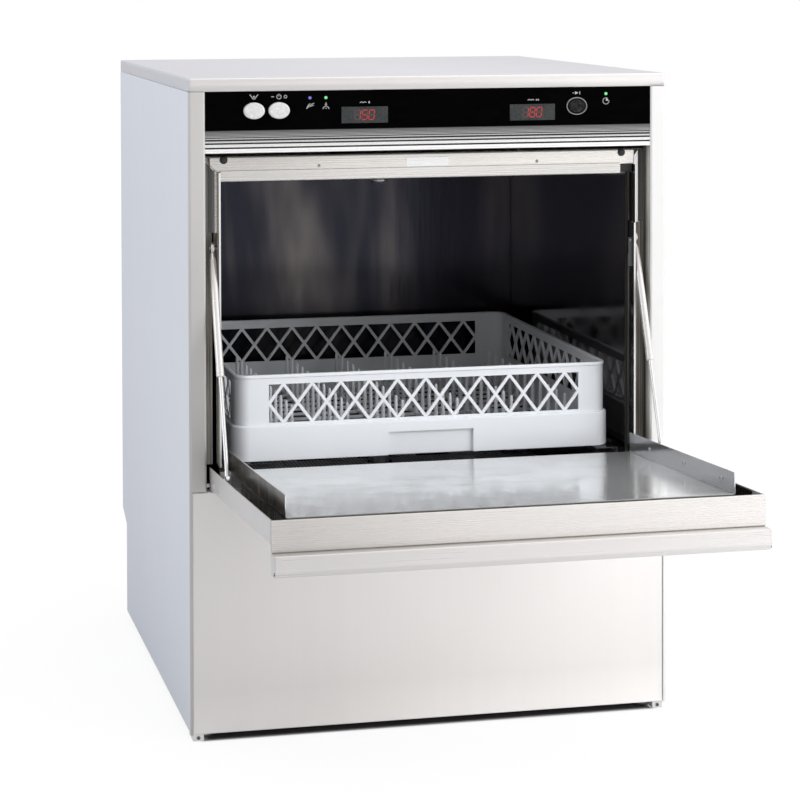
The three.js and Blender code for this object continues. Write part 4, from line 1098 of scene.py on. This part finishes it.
# the shim takes the pocket finish with its painted reflection streaks
rbox("strike_plate_shim", -36.5, -29, HF - 0.9, HF - 0.1, 677.8, 690.6, 0.3, M_POCKET, CAB)
for s, tag in ((-1, "left"), (1, "right")):
    bm = bmesh.new()
    lathe(bm, [(0, HF + 0.4), (4.9, HF + 0.4), (4.9, HF - 1.4), (4.2, HF - 2.6), (2.6, HF - 3.2), (0, HF - 3.3)], "Y", (-255.3 if s < 0 else 247.8, 690.7), 28)
    add("door_bumper_" + tag, bm, M_SEAL, CAB, 50)
for i, x in enumerate((-138, 138)):
    screw(f"header_screw_{i + 1}", "Y", (x, 681.6), HF, -1, 2.3)

# door seal: slim square-cornered ring behind the header step and inside the mouth edges
SQ = [(0.0, 0.0), (0.25, -0.25), (2.85, -0.25), (3.1, 0.0), (3.1, 2.7), (2.85, 2.95), (0.25, 2.95), (0.0, 2.7)]
bm = bmesh.new()
corner = [(-257.3, 308.9), (257.3, 308.9), (257.3, 665.1), (-257.3, 665.1)]
sgn = [(-1, -1), (1, -1), (1, 1), (-1, 1)]
rings = []
for (x, z), (sx, sz) in zip(corner, sgn):
    rings.append([bm.verts.new(Vector((x + sx * o, -293.3 + d, z + sz * o * (2.4 / 3.1))) * MM) for o, d in SQ])
for i in range(4):
    A, B = rings[i], rings[(i + 1) % 4]
    for k in range(len(SQ)):
        bm.faces.new((A[k], A[(k + 1) % len(SQ)], B[(k + 1) % len(SQ)], B[k]))
ob = add("mouth_seal", bm, M_SEAL, CAB, 40)
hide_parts("door_seal")
# small hold-back strap inside the right of the mouth
rbox("mouth_strap", 256.4, 261.6, -308.0, -306.6, 548, 584, 0.4, M_TRIM_BAND, CAB)
rbox("mouth_strap_stay", 260.6, 262.5, -307.4, -300.0, 552, 580, 0.3, M_TRIM_BAND, CAB)
screw("mouth_strap_rivet", "Y", (259.0, 580.5), -308.0, -1, 1.5)

# ------------------------------------------------------------------ door
DHW = bx("door_outer_panel")[1]
DFRONT = -713.4
DREAR = -313.0
RIM = 321.0
SKIN = 294.0
# outer tray: floor and sides folded from one sheet
bm = bmesh.new()
prof = fillet([(-DHW, RIM), (-DHW, SKIN), (DHW, SKIN), (DHW, RIM)], 2.4, 6)
prism(bm, strip(prof, 1.5, 1.0), "Y", DFRONT + 1.6, DREAR)
for s in (-1, 1):
    bm2 = bmesh.new()
    lathe(bm2, [(2.85, s * (DHW - 1.5)), (6.2, s * (DHW - 1.5)), (6.2, s * DHW), (2.85, s * DHW)], "X", (-315, 300), 40)
    merge(bm, bm2)
cuboid(bm, -DHW + 13, DHW - 13, DREAR - T, DREAR, SKIN + T, 315)
soften(bm, 0.3, 2, 60)
tray = add("door_tray", bm, M_SKIN, DOOR)
# strut pins on the tray's sides
for s, tag in ((-1, "left"), (1, "right")):
    bm = bmesh.new()
    a, b_ = (s * 271.1, s * (DHW - 1.0))
    lathe(bm, [(0, min(a, b_)), (2.5, min(a, b_)), (2.5, max(a, b_)), (0, max(a, b_))], "X", (-401, 318), 24)
    soften(bm, 0.2, 1, 50)
    add("strut_pin_" + tag, bm, M_ZINC, DOOR)
# front band: rim to groove
bm = bmesh.new()
prof = fillet([(DFRONT + 3.2, RIM - 0.1), (DFRONT, RIM - 0.1), (DFRONT, 287.4), (DFRONT + 3, 287.0)], [0, 1.0, 0.8, 0], 5)
prism(bm, strip(prof, 1.4, 1.0), "X", -DHW, DHW)
soften(bm, 0.5, 2, 60)
ob = add("door_front_band", bm, [M_DOOR, M_EDGE_HIGHLIGHT], DOOR)
# painted highlight: the folded corners at the ends of the band take the brighter edge finish
for p in ob.data.polygons:
    if 0.3 < abs(p.normal.x) and abs(p.center.x) > (DHW - 1.2) * MM:
        p.material_index = 1
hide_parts("door_outer_panel")
# finger lip: a full-width rounded hand rail under the band
HX1 = DHW
outer = fillet([(-705.0, 286.3), (-731.0, 286.3), (-731.0, 270.0), (-724.6, 262.7), (-704.6, 262.7), (-703.6, 264.0)], [0, 1.4, 6.0, 5.0, 0.6, 0], 6)
bm = bmesh.new()
prism(bm, strip(outer, 1.4, 1.0), "X", -HX1 + 0.9, HX1 - 0.9)
soften(bm, 0.3, 2, 60)
ob = add("door_lip", bm, M_LIP, DOOR, 40)
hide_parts("door_handle")
# domed end caps close the rail
cap = fillet([(-705.4, 285.9), (-730.6, 285.9), (-730.6, 270.2), (-724.4, 263.1), (-705.4, 263.1)], [0.6, 1.2, 5.8, 4.8, 0.6], 6, True)
for s, tag in ((-1, "left"), (1, "right")):
    bm = bmesh.new()
    x = s * (HX1 - 0.1)
    prism(bm, cap, "X", min(x, x - s * 1.6), max(x, x - s * 1.6))
    soften(bm, 0.7, 3, 60)
    add("door_lip_end_" + tag, bm, M_LIP, DOOR, 60)
    # painted shade: a dark disc stands in for the shaded hole in each cap
    bm = bmesh.new()
    h = s * (HX1 - 0.25)
    lathe(bm, [(0, h - 0.3), (1.9, h - 0.3), (1.9, h + 0.3), (0, h + 0.3)], "X", (-726.2, 267.2), 20)
    add("door_lip_end_hole_" + tag, bm, M_DARK, DOOR)
# painted shade: a mid-brown strip fills the groove between band and lip
rbox("door_lip_seam", -HX1 + 1.2, HX1 - 1.2, -712.4, -704.0, 285.2, 288.2, 0.3, M_SEAM, DOOR)

# inner panel: mirror pan with upstanding rack guides
IY0, IY1, IZ1 = -679.0, -325.0, 341.5
PZ = 317.8
bm = bmesh.new()
prof = fillet([(-254, IZ1), (-254, PZ - 1.5), (254, PZ - 1.5), (254, IZ1)], 3.0, 7)
prism(bm, strip(prof, 1.5, 1.0), "Y", IY0, IY1)
soften(bm, 0.25, 2, 60)
ob = add("door_pan", bm, [M_PLATE, M_TROUGH, M_PLATE_SIDE], DOOR, 40)
# painted shade: the pan's side walls take the dark trough finish on their outer faces and the darker mirror copy on
# their inner faces
for p in ob.data.polygons:
    c = p.center / MM
    if abs(p.normal.x) > 0.8 and abs(c.x) > 251.0:
        p.material_index = 1 if p.normal.x * c.x > 0 else 2
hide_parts("door_inner_panel")
# painted shade: the front fold takes the dark trough finish
for tag, y, sg in (("front", IY0, 1), ("rear", IY1, -1)):
    bm = bmesh.new()
    prof = fillet([(y, 296.2), (y, PZ - 0.2), (y + sg * 6, PZ - 0.2)], [0, 1.6, 0], 5)
    prism(bm, strip(prof, 1.2, -1.0 if sg > 0 else 1.0), "X", -251.5, 251.5)
    soften(bm, 0.2, 1, 60)
    add("door_pan_fold_" + tag, bm, M_TROUGH if tag == "front" else M_PLATE, DOOR)
# inner liner of the tray: the trough between the pan and the tray, painted dark as shade
for s, tag in ((-1, "left"), (1, "right")):
    bm = bmesh.new()
    prof = fillet([(s * 273.9, 319.6), (s * 273.9, 297.0), (s * 255.0, 297.0), (s * 255.0, 316.0)], [0, 3, 3, 0], 5)
    prism(bm, strip(prof, 0.35, -1.0 if s > 0 else 1.0), "Y", -677.5, -420)
    # lower where the closed door passes the header
    bm2 = bmesh.new()
    prof = fillet([(s * 273.9, 307.2), (s * 273.9, 297.0), (s * 255.0, 297.0), (s * 255.0, 307.2)], [0, 3, 3, 0], 5)
    prism(bm2, strip(prof, 0.35, -1.0 if s > 0 else 1.0), "Y", -710.6, -677.5)
    merge(bm, bm2)
    add("door_trough_" + tag, bm, M_TROUGH, DOOR)
# painted shade: the trough's front floor and wall take the same dark finish
rbox("door_trough_front", -273, 273, -711.2, IY0 - 1.2, 296.4, 297.4, 0.3, M_TROUGH, DOOR)
rbox("door_trough_wall", -273.4, 273.4, -711.7, -711.25, 297.0, 319.4, 0.1, M_TROUGH, DOOR)
for s, tag in ((-1, "left"), (1, "right")):
    for i, y in enumerate((-640, -520, -400)):
        screw(f"door_pan_rivet_{tag}_{i + 1}", "X", (y, 330), s * 252.6, -s, 2.6, M_ZINC, DOOR)
    for i, (y, z) in enumerate(((-345, 303), (-385, 303))):
        bm = bmesh.new()
        h = s * DHW
        lathe(bm, [(0, h - s * 0.3), (3.4, h - s * 0.3), (3.2, h + s * 0.7), (2.2, h + s * 1.2), (0, h + s * 1.4)], "X", (y, z), 24)
        add(f"door_side_rivet_{tag}_{i + 1}", bm, M_ZINC, DOOR, 50)

# ------------------------------------------------------------------ struts
A = Vector((-295, 583.5))
PIN = Vector((-401, 318))


def raised(y, z):
    p = RAISE @ (Vector((0, y, z)) * MM) / MM
    return Vector((p.y, p.z))


B = raised(*PIN)
Ls = (B - A).length
dirv = (B - A).normalized()


def along(d, off=0.0):
    """Point on the strut d mm below the upper pivot, (y, z)."""
    p = A + dirv * d
    return p.x, p.y


for s, tag in ((-1, "left"), (1, "right")):
    X = s * 268.5

    def tubes(bm, parts, n=24):
        for segs in parts:
            pts, rs = [], []
            for d, r in segs:
                y, z = along(d)
                pts.append((X, y, z))
                rs.append(r)
            sweep(bm, pts, rs, n)

    bm = bmesh.new()
    tubes(bm, [[(4, 2.6), (10, 3.0), (13, 4.3), (15, 4.6), (142.4, 4.6), (143, 4.2), (143.8, 4.2), (144.4, 4.8), (157, 4.8), (158, 4.2)]])
    # flattened eye at the pivot
    bm2 = bmesh.new()
    pts = oval(A.x, A.y, 7, 7, 36)
    ring = [(3.35, X - 2.0), (7.0, X - 2.0), (7.0, X + 2.0), (3.35, X + 2.0)]
    lathe(bm2, ring, "X", (A.x, A.y), 36)
    bm2.faces.ensure_lookup_table()
    bmesh.ops.delete(bm2, geom=[f for f in bm2.faces if len(f.verts) > 4], context="FACES")
    bmesh.ops.remove_doubles(bm2, verts=bm2.verts, dist=1e-7)
    # close the bore
    vs = sorted(bm2.verts, key=lambda v: v.co.x)
    inner_a = [v for v in bm2.verts if abs(((v.co.y / MM - A.x) ** 2 + (v.co.z / MM - A.y) ** 2) ** 0.5 - 3.35) < 0.05]
    lo_ = sorted([v for v in inner_a if v.co.x < X * MM], key=lambda v: math.atan2(v.co.z / MM - A.y, v.co.y / MM - A.x))
    hi_ = sorted([v for v in inner_a if v.co.x >= X * MM], key=lambda v: math.atan2(v.co.z / MM - A.y, v.co.y / MM - A.x))
    for i in range(len(lo_)):
        bm2.faces.new((lo_[i], lo_[(i + 1) % len(lo_)], hi_[(i + 1) % len(hi_)], hi_[i]))
    merge(bm, bm2)
    soften(bm, 0.25, 2, 45)
    ob = add("strut_sleeve_" + tag, bm, M_STRUT, f"strut_tube_{tag}_body", 45)
    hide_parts("strut_tube_" + tag)
    bm = bmesh.new()
    tubes(bm, [[(Ls - 149.5, 2.2), (Ls - 149, 2.4), (Ls - 12, 2.4), (Ls - 6, 2.9), (Ls - 4, 2.9)]])
    lathe(bm, [(0, X - 2.0), (6.0, X - 2.0), (6.0, X + 2.0), (0, X + 2.0)], "X", (B.x, B.y), 32)
    soften(bm, 0.4, 2, 45)
    ob = add("strut_plunger_" + tag, bm, M_ROD, f"strut_rod_{tag}_body", 45)
    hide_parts("strut_rod_" + tag)
    # pin heads
    bm = bmesh.new()
    h0, h1 = X + s * 2.2, X + s * 3.6
    lathe(bm, [(0, h0), (3.75, h0), (3.75, h0 + (h1 - h0) * 0.6), (2.9, h1), (0, h1)], "X", (A.x, A.y), 24)
    soften(bm, 0.2, 1, 45)
    add("strut_pivot_head_" + tag, bm, M_ZINC, CAB)
    bm = bmesh.new()
    h0, h1 = X - s * 2.0, X - s * 3.4
    lathe(bm, [(0, h0), (4.2, h0), (3.9, h0 + (h1 - h0) * 0.6), (2.6, h1), (0, h1)], "X", (B.x, B.y), 24)
    add("strut_end_rivet_" + tag, bm, M_ZINC, f"strut_rod_{tag}_body", 50)

# ------------------------------------------------------------------ wash and rinse arms
for n, w, jets, bend in (("lower_wash_arm", 30, 9, 1), ("upper_wash_arm", 30, 9, -1), ("lower_rinse_arm", 16, 11, 1), ("upper_rinse_arm", 16, 11, -1)):
    b = bx(n)
    r = (b[1] - b[0]) / 2
    yc = (b[2] + b[3]) / 2
    z0, z1 = b[4], b[5]
    hub = (b[3] - b[2]) / 2
    bore = 9.7 if w > 20 else 7.7
    bm = bmesh.new()
    out = []
    for i in range(13):
        t = -math.pi / 2 + math.pi * i / 12
        out.append((r - w / 2 + w / 2 * math.cos(t), w / 2 * math.sin(t)))
    a0 = math.asin(min(0.98, w / 2 / hub))
    for i in range(13):
        t = a0 + (math.pi - 2 * a0) * i / 12
        out.append((hub * math.cos(t), hub * math.sin(t)))
    for i in range(13):
        t = math.pi / 2 + math.pi * i / 12
        out.append((-r + w / 2 + w / 2 * math.cos(t), w / 2 * math.sin(t)))
    for i in range(13):
        t = math.pi + a0 + (math.pi - 2 * a0) * i / 12
        out.append((hub * math.cos(t), hub * math.sin(t)))
    holes = [oval(0, 0, bore, bore, 36)]
    pos = [hub + 14 + (r - hub - 26) * k / (jets // 2 - 0.0) for k in range(jets // 2)]
    for k, p in enumerate(pos):
        for sg in (-1, 1):
            cy = (w * 0.14) * (1 if (k % 2) else -1) * sg
            holes.append(oval(sg * p, cy, 5.0 if w > 20 else 2.2, 1.4 if w > 20 else 1.4, 14))
    bm = pierced(out, holes, z1 - z0, min(2.2, (z1 - z0) * 0.24), 3)
    moved(bm, basis((0, yc, (z0 + z1) / 2), (1, 0, 0), (0, 1, 0), (0, 0, 1)))
    ob = add(n + "_formed", bm, M_BRIGHT, n + "_body", 40)
    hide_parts(n)

# ------------------------------------------------------------------ feet
for n in ("foot_front_left", "foot_front_right", "foot_rear_left", "foot_rear_right"):
    b = bx(n)
    cx, cy = (b[0] + b[1]) / 2, (b[2] + b[3]) / 2
    bm = bmesh.new()
    lathe(bm, [(0, -9), (11, -9), (12.2, -8.4), (12.5, -7), (12.5, -4), (11, -2.2), (9, -1), (6, 0), (6, 23), (5, 24), (0, 24)], "Z", (cx, cy), 36)
    ob = add(n + "_turned", bm, M_FOOT, CAB, 40)
    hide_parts(n)
# corner cleats at the front, with the screw that fixes the lower panel
for s, tag in ((-1, "left"), (1, "right")):
    rbox("corner_cleat_" + tag, s * 291 - 6.5, s * 291 + 6.5, YF + 1.8, YF + 20, -8.2, 0.0, 0.6, M_CLEAT, CAB)
    screw("corner_cleat_screw_" + tag, "Y", (s * 291, -4.2), YF + 1.8, -1, 2.2, M_SCREW_DARK)

# ------------------------------------------------------------------ dish rack
KX0, KX1, KY0, KY1, KZ0, KZ1 = bx("dish_rack")
rc = Vector((0, (KY0 + KY1) / 2))
HB = (KX1 - KX0) / 2            # half width of the lower band
HT = HB - 4.0                   # half width of the upper wall
WALL = 3.2
CR = 17.0                       # corner radius of the upper wall


def side_map(hw, cr, side):
    """Maps (u along the wall from its centre, d outward) to (x, y) for one side; the corner turns with radius cr."""
    flat = hw - cr
    q = math.pi / 4 * cr

    def f(u, d):
        s = 1 if u >= 0 else -1
        a = abs(u)
        if a <= flat:
            p = (u, -(hw + d))
        else:
            th = (a - flat) / cr
            p = (s * (flat + (cr + d) * math.sin(th)), -(flat + (cr + d) * math.cos(th)))
        for _ in range(side):
            p = (-p[1], p[0])
        return rc.x + p[0], rc.y + p[1]
    return f, flat + q


def rack_wall(side, recess):
    f, half = side_map(HT, CR, side)
    holes = []
    u0, u1, w0, w1 = -196.0, 200.0, 46.5, 94.0
    if side in (1, 3):
        u0, u1 = -198.0, 198.0
    n = 11
    p = (u1 - u0) / n
    t = 2.0
    h = (w1 - w0) / 2
    wm = (w0 + w1) / 2
    # strands cross at mid height on the half pitches and meet the rims at the pitches
    k = math.hypot(p / 2, h)
    ox, oz = t * k / h, t * k / (p / 2)
    for i in range(n):
        a = u0 + i * p
        c = a + p / 2
        # full diamond about each pitch centre
        holes.append([(a + ox, wm), (c, w0 + oz), (a + p - ox, wm), (c, w1 - oz)])
    for i in range(n - 1):
        c = u0 + (i + 1) * p
        hw2 = p / 2 - ox
        # half diamonds between strands, against the rims
        holes.append([(c - hw2, w1 - 0.2), (c + hw2, w1 - 0.2), (c, wm + oz)])
        holes.append([(c - hw2, w0 + 0.2), (c, wm - oz), (c + hw2, w0 + 0.2)])
    hw2 = p / 2 - ox
    holes.append([(u0, w1 - 0.2), (u0 + hw2, w1 - 0.2), (u0, wm + oz)])
    holes.append([(u0, w0 + 0.2), (u0, wm - oz), (u0 + hw2, w0 + 0.2)])
    holes.append([(u1 - hw2, w1 - 0.2), (u1, w1 - 0.2), (u1, wm + oz)])
    holes.append([(u1 - hw2, w0 + 0.2), (u1, wm - oz), (u1, w0 + 0.2)])
    bm = pierced(rect(-half - 3, half + 3, 1.0, 106.0), holes, WALL, 0.55, 2)
    # cuts so the corners can turn
    flat = HT - CR
    q = math.pi / 4 * CR
    for i in range(0, 9):
        for s in (-1, 1):
            u = s * (flat + q * i / 8)
            g = bm.verts[:] + bm.edges[:] + bm.faces[:]
            bmesh.ops.bisect_plane(bm, geom=g, plane_co=(u * MM, 0, 0), plane_no=(s, 0, 0), clear_outer=(i == 8), clear_inner=False)
    for v in bm.verts:
        u, z, d = v.co.x / MM, v.co.y / MM, v.co.z / MM
        x, y = f(u, d - WALL / 2)
        v.co = Vector((x, y, KZ0 + z)) * MM
    return bm


rack = bmesh.new()
for side in range(4):
    merge(rack, rack_wall(side, side == 0))
bmesh.ops.remove_doubles(rack, verts=rack.verts, dist=2e-5)


def ring_loops(hw, cr, seg=8):
    out = []
    for side in range(4):
        f, half = side_map(hw, cr, side)
        flat = hw - cr
        us = [-(flat + math.pi / 4 * cr * (1 - i / seg)) for i in range(seg)] + [-flat, flat] + [flat + math.pi / 4 * cr * (i + 1) / seg for i in range(seg - 1)]
        out += [(side, u, f) for u in us]
    return out


def band_ring(bm, section, hw, cr, gap=None):
    """Closed section [(outward, height)] carried round the rack, optionally broken by a gap (side, u0, u1)."""
    stations = ring_loops(hw, cr)
    if gap:
        gs, g0, g1 = gap
        f = side_map(hw, cr, gs)[0]
        flat = hw - cr
        idx = [i for i, (sd, u, _) in enumerate(stations) if sd == gs and abs(u - flat) < 1e-6][0]
        stations = [(gs, g1, f)] + stations[idx:] + stations[:idx] + [(gs, g0, f)]
    rings = []
    for sd, u, f in stations:
        ring = []
        for d, z in section:
            x, y = f(u, d)
            ring.append(bm.verts.new(Vector((x, y, KZ0 + z)) * MM))
        rings.append(ring)
    m = len(section)
    last = len(rings) if not gap else len(rings) - 1
    for i in range(last):
        P, Q = rings[i], rings[(i + 1) % len(rings)]
        for k in range(m):
            bm.faces.new((P[k], P[(k + 1) % m], Q[(k + 1) % m], Q[k]))
    if gap:
        bm.faces.new(rings[0][::-1])
        bm.faces.new(rings[-1])


# thick lower band with a rounded shoulder, opened by the thumb recess at the front
for gs in (0,):
    sec = [(-1.0, 1.0), (3.2, 0.6), (3.9, 1.2), (4.0, 3.0), (4.0, 41.0), (3.4, 42.8), (1.6, 43.9), (-1.0, 44.2)]
    bmb = bmesh.new()
    band_ring(bmb, sec, HT, CR, (0, -47.0, 62.0))
    # the recess keeps a thin top bar
    f0 = side_map(HT, CR, 0)[0]
    bar = [(-1.0, 29.5), (3.6, 29.5), (4.0, 30.2), (4.0, 41.0), (3.4, 42.8), (1.6, 43.9), (-1.0, 44.2)]
    rr = []
    for u in (-47.0, 62.0):
        rr.append([bmb.verts.new(Vector((*f0(u, d), KZ0 + z)) * MM) for d, z in bar])
    for k in range(len(bar)):
        bmb.faces.new((rr[0][k], rr[0][(k + 1) % len(bar)], rr[1][(k + 1) % len(bar)], rr[1][k]))
    bmb.faces.new(rr[0])
    bmb.faces.new(rr[1][::-1])
    merge(rack, bmb)
# rolled top rim and the foot flange inside
bmb = bmesh.new()
band_ring(bmb, [(0.0, 101.5), (1.0, 102.2), (1.2, 104.4), (0.6, 105.6), (-0.6, 106.0), (-2.6, 106.0), (-3.8, 105.4), (-4.4, 104.0), (-4.0, 101.5)], HT, CR)
merge(rack, bmb)
bmb = bmesh.new()
band_ring(bmb, [(-2.0, 0.2), (-8.0, 0.2), (-8.6, 1.0), (-8.6, 3.6), (-8.0, 4.2), (-2.0, 4.2)], HT, CR)
merge(rack, bmb)
bmesh.ops.recalc_face_normals(rack, faces=rack.faces)
ob = add("rack_basket", rack, M_RACK, "rack", 38)
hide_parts("dish_rack")
# floor grid
inner = HT - WALL - 3
holes = []
cells = 13
cell = 2 * inner / cells
for i in range(cells):
    for j in range(cells):
        x, y = -inner + (i + 0.5) * cell, -inner + (j + 0.5) * cell
        if abs(x) > inner - 10 and abs(y) > inner - 10:
            continue
        h = cell / 2 - 2.1
        holes.append(fillet(rect(x - h, x + h, y - h, y + h), 3.0, 2, True))
bm = pierced(rect(-inner, inner, -inner, inner), holes, 3.6, 0.5, 1)
moved(bm, basis((rc.x, rc.y, KZ0 + 3.0), (1, 0, 0), (0, 1, 0), (0, 0, 1)))
add("rack_floor", bm, M_RACK, "rack", 38)
# plate pegs: tapered pins with rounded tips and a foot fillet
bm = bmesh.new()
for i in range(1, cells):
    if i % 2:
        continue
    for j in range(1, cells):
        x, y = -inner + i * cell, -inner + j * cell
        lathe(bm, [(0, KZ0 + 4.4), (4.6, KZ0 + 4.4), (3.5, KZ0 + 6.4), (3.0, KZ0 + 12), (2.1, KZ0 + 58), (1.5, KZ0 + 60.4), (0, KZ0 + 61.2)], "Z", (rc.x + x, rc.y + y), 10)
add("rack_pegs", bm, M_RACK, "rack", 50)


def held_back(m, k):
    """Painted shade: tones an upward face down where it is seen from behind, as it would mirror the bright front of the
    studio.
    """
    nt = m.node_tree
    b = next(n for n in nt.nodes if n.type == "BSDF_PRINCIPLED")
    geo = nt.nodes.new("ShaderNodeNewGeometry")
    sep = nt.nodes.new("ShaderNodeSeparateXYZ")
    nt.links.new(geo.outputs["Incoming"], sep.inputs[0])
    scale = nt.nodes.new("ShaderNodeVectorMath")
    scale.operation = "SCALE"
    nt.links.new(b.inputs["Base Color"].links[0].from_socket, scale.inputs[0])
    nt.links.new(ranged(nt, sep.outputs[1], 1.0, k, 0.05, 0.5), scale.inputs["Scale"])
    nt.links.new(scale.outputs[0], b.inputs["Base Color"])


# painted shade on the lid top and the door pan where they are seen from behind
held_back(M_TOP, 0.62)
held_back(M_PLATE, 0.74)

# ------------------------------------------------------------------ stage, light, camera
bm = bmesh.new()
bmesh.ops.create_grid(bm, x_segments=1, y_segments=1, size=14.0)
me = bpy.data.meshes.new("floor")
bm.to_mesh(me)
bm.free()
floor = bpy.data.objects.new("floor", me)
bpy.context.scene.collection.objects.link(floor)
floor.location = (0, 0, -0.009)
mf, nt, b = tree("m_floor")
fn = noise(nt, coords(nt, (1, 1, 1)), 3, 3, 0.5)
pale = mixed(nt, fn, (0.80, 0.80, 0.805), (0.82, 0.82, 0.822))
b.inputs["Roughness"].default_value = 0.8
b.inputs["Specular IOR Level"].default_value = 0.05
# the pale sweep: to the camera it reads as paper white, with a soft shadow near the machine and a painted dark contact
# shadow under its footprint
out_n = [n for n in nt.nodes if n.type == "OUTPUT_MATERIAL"][0]
em = node(nt, "ShaderNodeEmission")
em.inputs["Color"].default_value = (1, 1, 1, 1)
em.inputs["Strength"].default_value = 1.04
lp = node(nt, "ShaderNodeLightPath")
mixs = node(nt, "ShaderNodeMixShader")
tcf = node(nt, "ShaderNodeTexCoord")
sepf = node(nt, "ShaderNodeSeparateXYZ")
nt.links.new(tcf.outputs["Object"], sepf.inputs[0])
# painted shadow: under the machine's footprint the floor's colour turns dark and its white glow to the camera is
# switched off
ax = math_(nt, "SUBTRACT", math_(nt, "ABSOLUTE", sepf.outputs[0]), 0.2855)
ay = math_(nt, "SUBTRACT", math_(nt, "ABSOLUTE", math_(nt, "ADD", sepf.outputs[1], 0.0235)), 0.2945)
under = math_(nt, "MAXIMUM", ax, ay)
far = ranged(nt, under, 0.0, 1.0, -0.003, 0.003)
nt.links.new(mixed(nt, ranged(nt, under, 0.0, 1.0, -0.009, 0.003), (0.085, 0.080, 0.085), pale), b.inputs["Base Color"])
rad = math_(nt, "SQRT", math_(nt, "ADD", math_(nt, "MULTIPLY", sepf.outputs[0], sepf.outputs[0]), math_(nt, "MULTIPLY", sepf.outputs[1], sepf.outputs[1])))
keep = ranged(nt, rad, 0.84, 1.0, 0.42, 1.1)
nt.links.new(math_(nt, "MULTIPLY", math_(nt, "MULTIPLY", far, lp.outputs["Is Camera Ray"]), keep), mixs.inputs[0])
nt.links.new(b.outputs[0], mixs.inputs[1])
nt.links.new(em.outputs[0], mixs.inputs[2])
nt.links.new(mixs.outputs[0], out_n.inputs[0])
me.materials.append(mf)
floor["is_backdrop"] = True

world = bpy.data.worlds.new("studio")
bpy.context.scene.world = world
world.use_nodes = True
wn = world.node_tree
wn.nodes.clear()
wo = wn.nodes.new("ShaderNodeOutputWorld")
bg = wn.nodes.new("ShaderNodeBackground")
tc = wn.nodes.new("ShaderNodeTexCoord")
sep = wn.nodes.new("ShaderNodeSeparateXYZ")
wn.links.new(tc.outputs["Generated"], sep.inputs[0])
# studio walls: bright to the front right, dimmer to the front left, cool behind
fr = ranged(wn, sep.outputs[0], 0.0, 1.0, 0.02, 0.42)
frontness = ranged(wn, sep.outputs[1], 1.0, 0.0, -0.5, 0.25)
front_col = mixed(wn, fr, (0.66, 0.64, 0.625), (1.95, 1.95, 1.95))
back_col = mixed(wn, ranged(wn, sep.outputs[0], 0.0, 1.0, -0.3, 0.5), (0.92, 0.95, 1.02), (1.0, 1.0, 1.02))
both = mixed(wn, frontness, back_col, front_col)
tall = mixed(wn, ranged(wn, sep.outputs[2], 0.0, 1.0, 0.25, 0.8), both, (0.88, 0.88, 0.90))
wn.links.new(tall, bg.inputs["Color"])
bg.inputs["Strength"].default_value = 0.82
bgw = wn.nodes.new("ShaderNodeBackground")
bgw.inputs["Color"].default_value = (1, 1, 1, 1)
bgw.inputs["Strength"].default_value = 1.0
lpw = wn.nodes.new("ShaderNodeLightPath")
mxw = wn.nodes.new("ShaderNodeMixShader")
wn.links.new(lpw.outputs["Is Camera Ray"], mxw.inputs[0])
wn.links.new(bg.outputs[0], mxw.inputs[1])
wn.links.new(bgw.outputs[0], mxw.inputs[2])
wn.links.new(mxw.outputs[0], wo.inputs[0])


def area(name, loc, target, size, power, color=(1, 1, 1)):
    l = bpy.data.lights.new(name, "AREA")
    l.shape = "RECTANGLE"
    l.size, l.size_y = size
    l.energy = power
    l.color = color
    o = bpy.data.objects.new(name, l)
    bpy.context.scene.collection.objects.link(o)
    o.location = loc
    o.rotation_mode = "QUATERNION"
    o.rotation_quaternion = (Vector(loc) - Vector(target)).to_track_quat("Z", "Y")
    return o


key = area("key_right", (2.3, -2.3, 1.5), (0.2, -0.3, 0.4), (1.8, 2.4), 62)
# a soft source: it lights the sheets without showing as a hot patch in them
key.visible_glossy = False
area("fill_left", (-3.0, -0.6, 1.9), (-0.2, 0, 0.5), (2.4, 2.4), 20, (0.93, 0.96, 1.0))
area("top_soft", (0, -0.6, 3.2), (0, -0.2, 0.5), (3.0, 3.0), 26)

CAM = Vector((-0.75048, -3.22884, 0.91799))
cam_data = bpy.data.cameras.new("camera")
cam = bpy.data.objects.new("camera", cam_data)
bpy.context.scene.collection.objects.link(cam)
bpy.context.scene.camera = cam
a, e_, r = -0.2261, 0.0286, -0.0025
fwd = Vector((-math.sin(a) * math.cos(e_), math.cos(a) * math.cos(e_), -math.sin(e_)))
right = fwd.cross(Vector((0, 0, 1))).normalized()
up = right.cross(fwd)
right2 = right * math.cos(r) + up * math.sin(r)
up2 = -right * math.sin(r) + up * math.cos(r)
rot = Matrix((right2, up2, -fwd)).transposed()
cam.location = CAM
cam.rotation_mode = "QUATERNION"
cam.rotation_quaternion = rot.to_quaternion()
cam_data.sensor_width = 36
cam_data.lens = 2463.74 / 807 * 36
cam_data.clip_start, cam_data.clip_end = 0.05, 60
# the lens shift belongs to this viewpoint only: away from it the lens is centred
for prop, val in (("shift_x", 0.0409), ("shift_y", -0.4488)):
    d = cam_data.driver_add(prop).driver
    d.type = "SCRIPTED"
    v = d.variables.new()
    v.name = "cx"
    v.type = "TRANSFORMS"
    v.targets[0].id = cam
    v.targets[0].transform_type = "LOC_X"
    v.targets[0].transform_space = "WORLD_SPACE"
    v2 = d.variables.new()
    v2.name = "cy"
    v2.type = "TRANSFORMS"
    v2.targets[0].id = cam
    v2.targets[0].transform_type = "LOC_Y"
    v2.targets[0].transform_space = "WORLD_SPACE"
    d.expression = f"({val}) if (abs(cx - ({CAM.x:.5f})) < 0.002 and abs(cy - ({CAM.y:.5f})) < 0.002) else 0.0"

sc = bpy.context.scene
sc.view_settings.view_transform = "Standard"
sc.view_settings.look = "None"
sc.view_settings.exposure = 0.0

bpy.context.view_layer.update()
lo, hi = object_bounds()
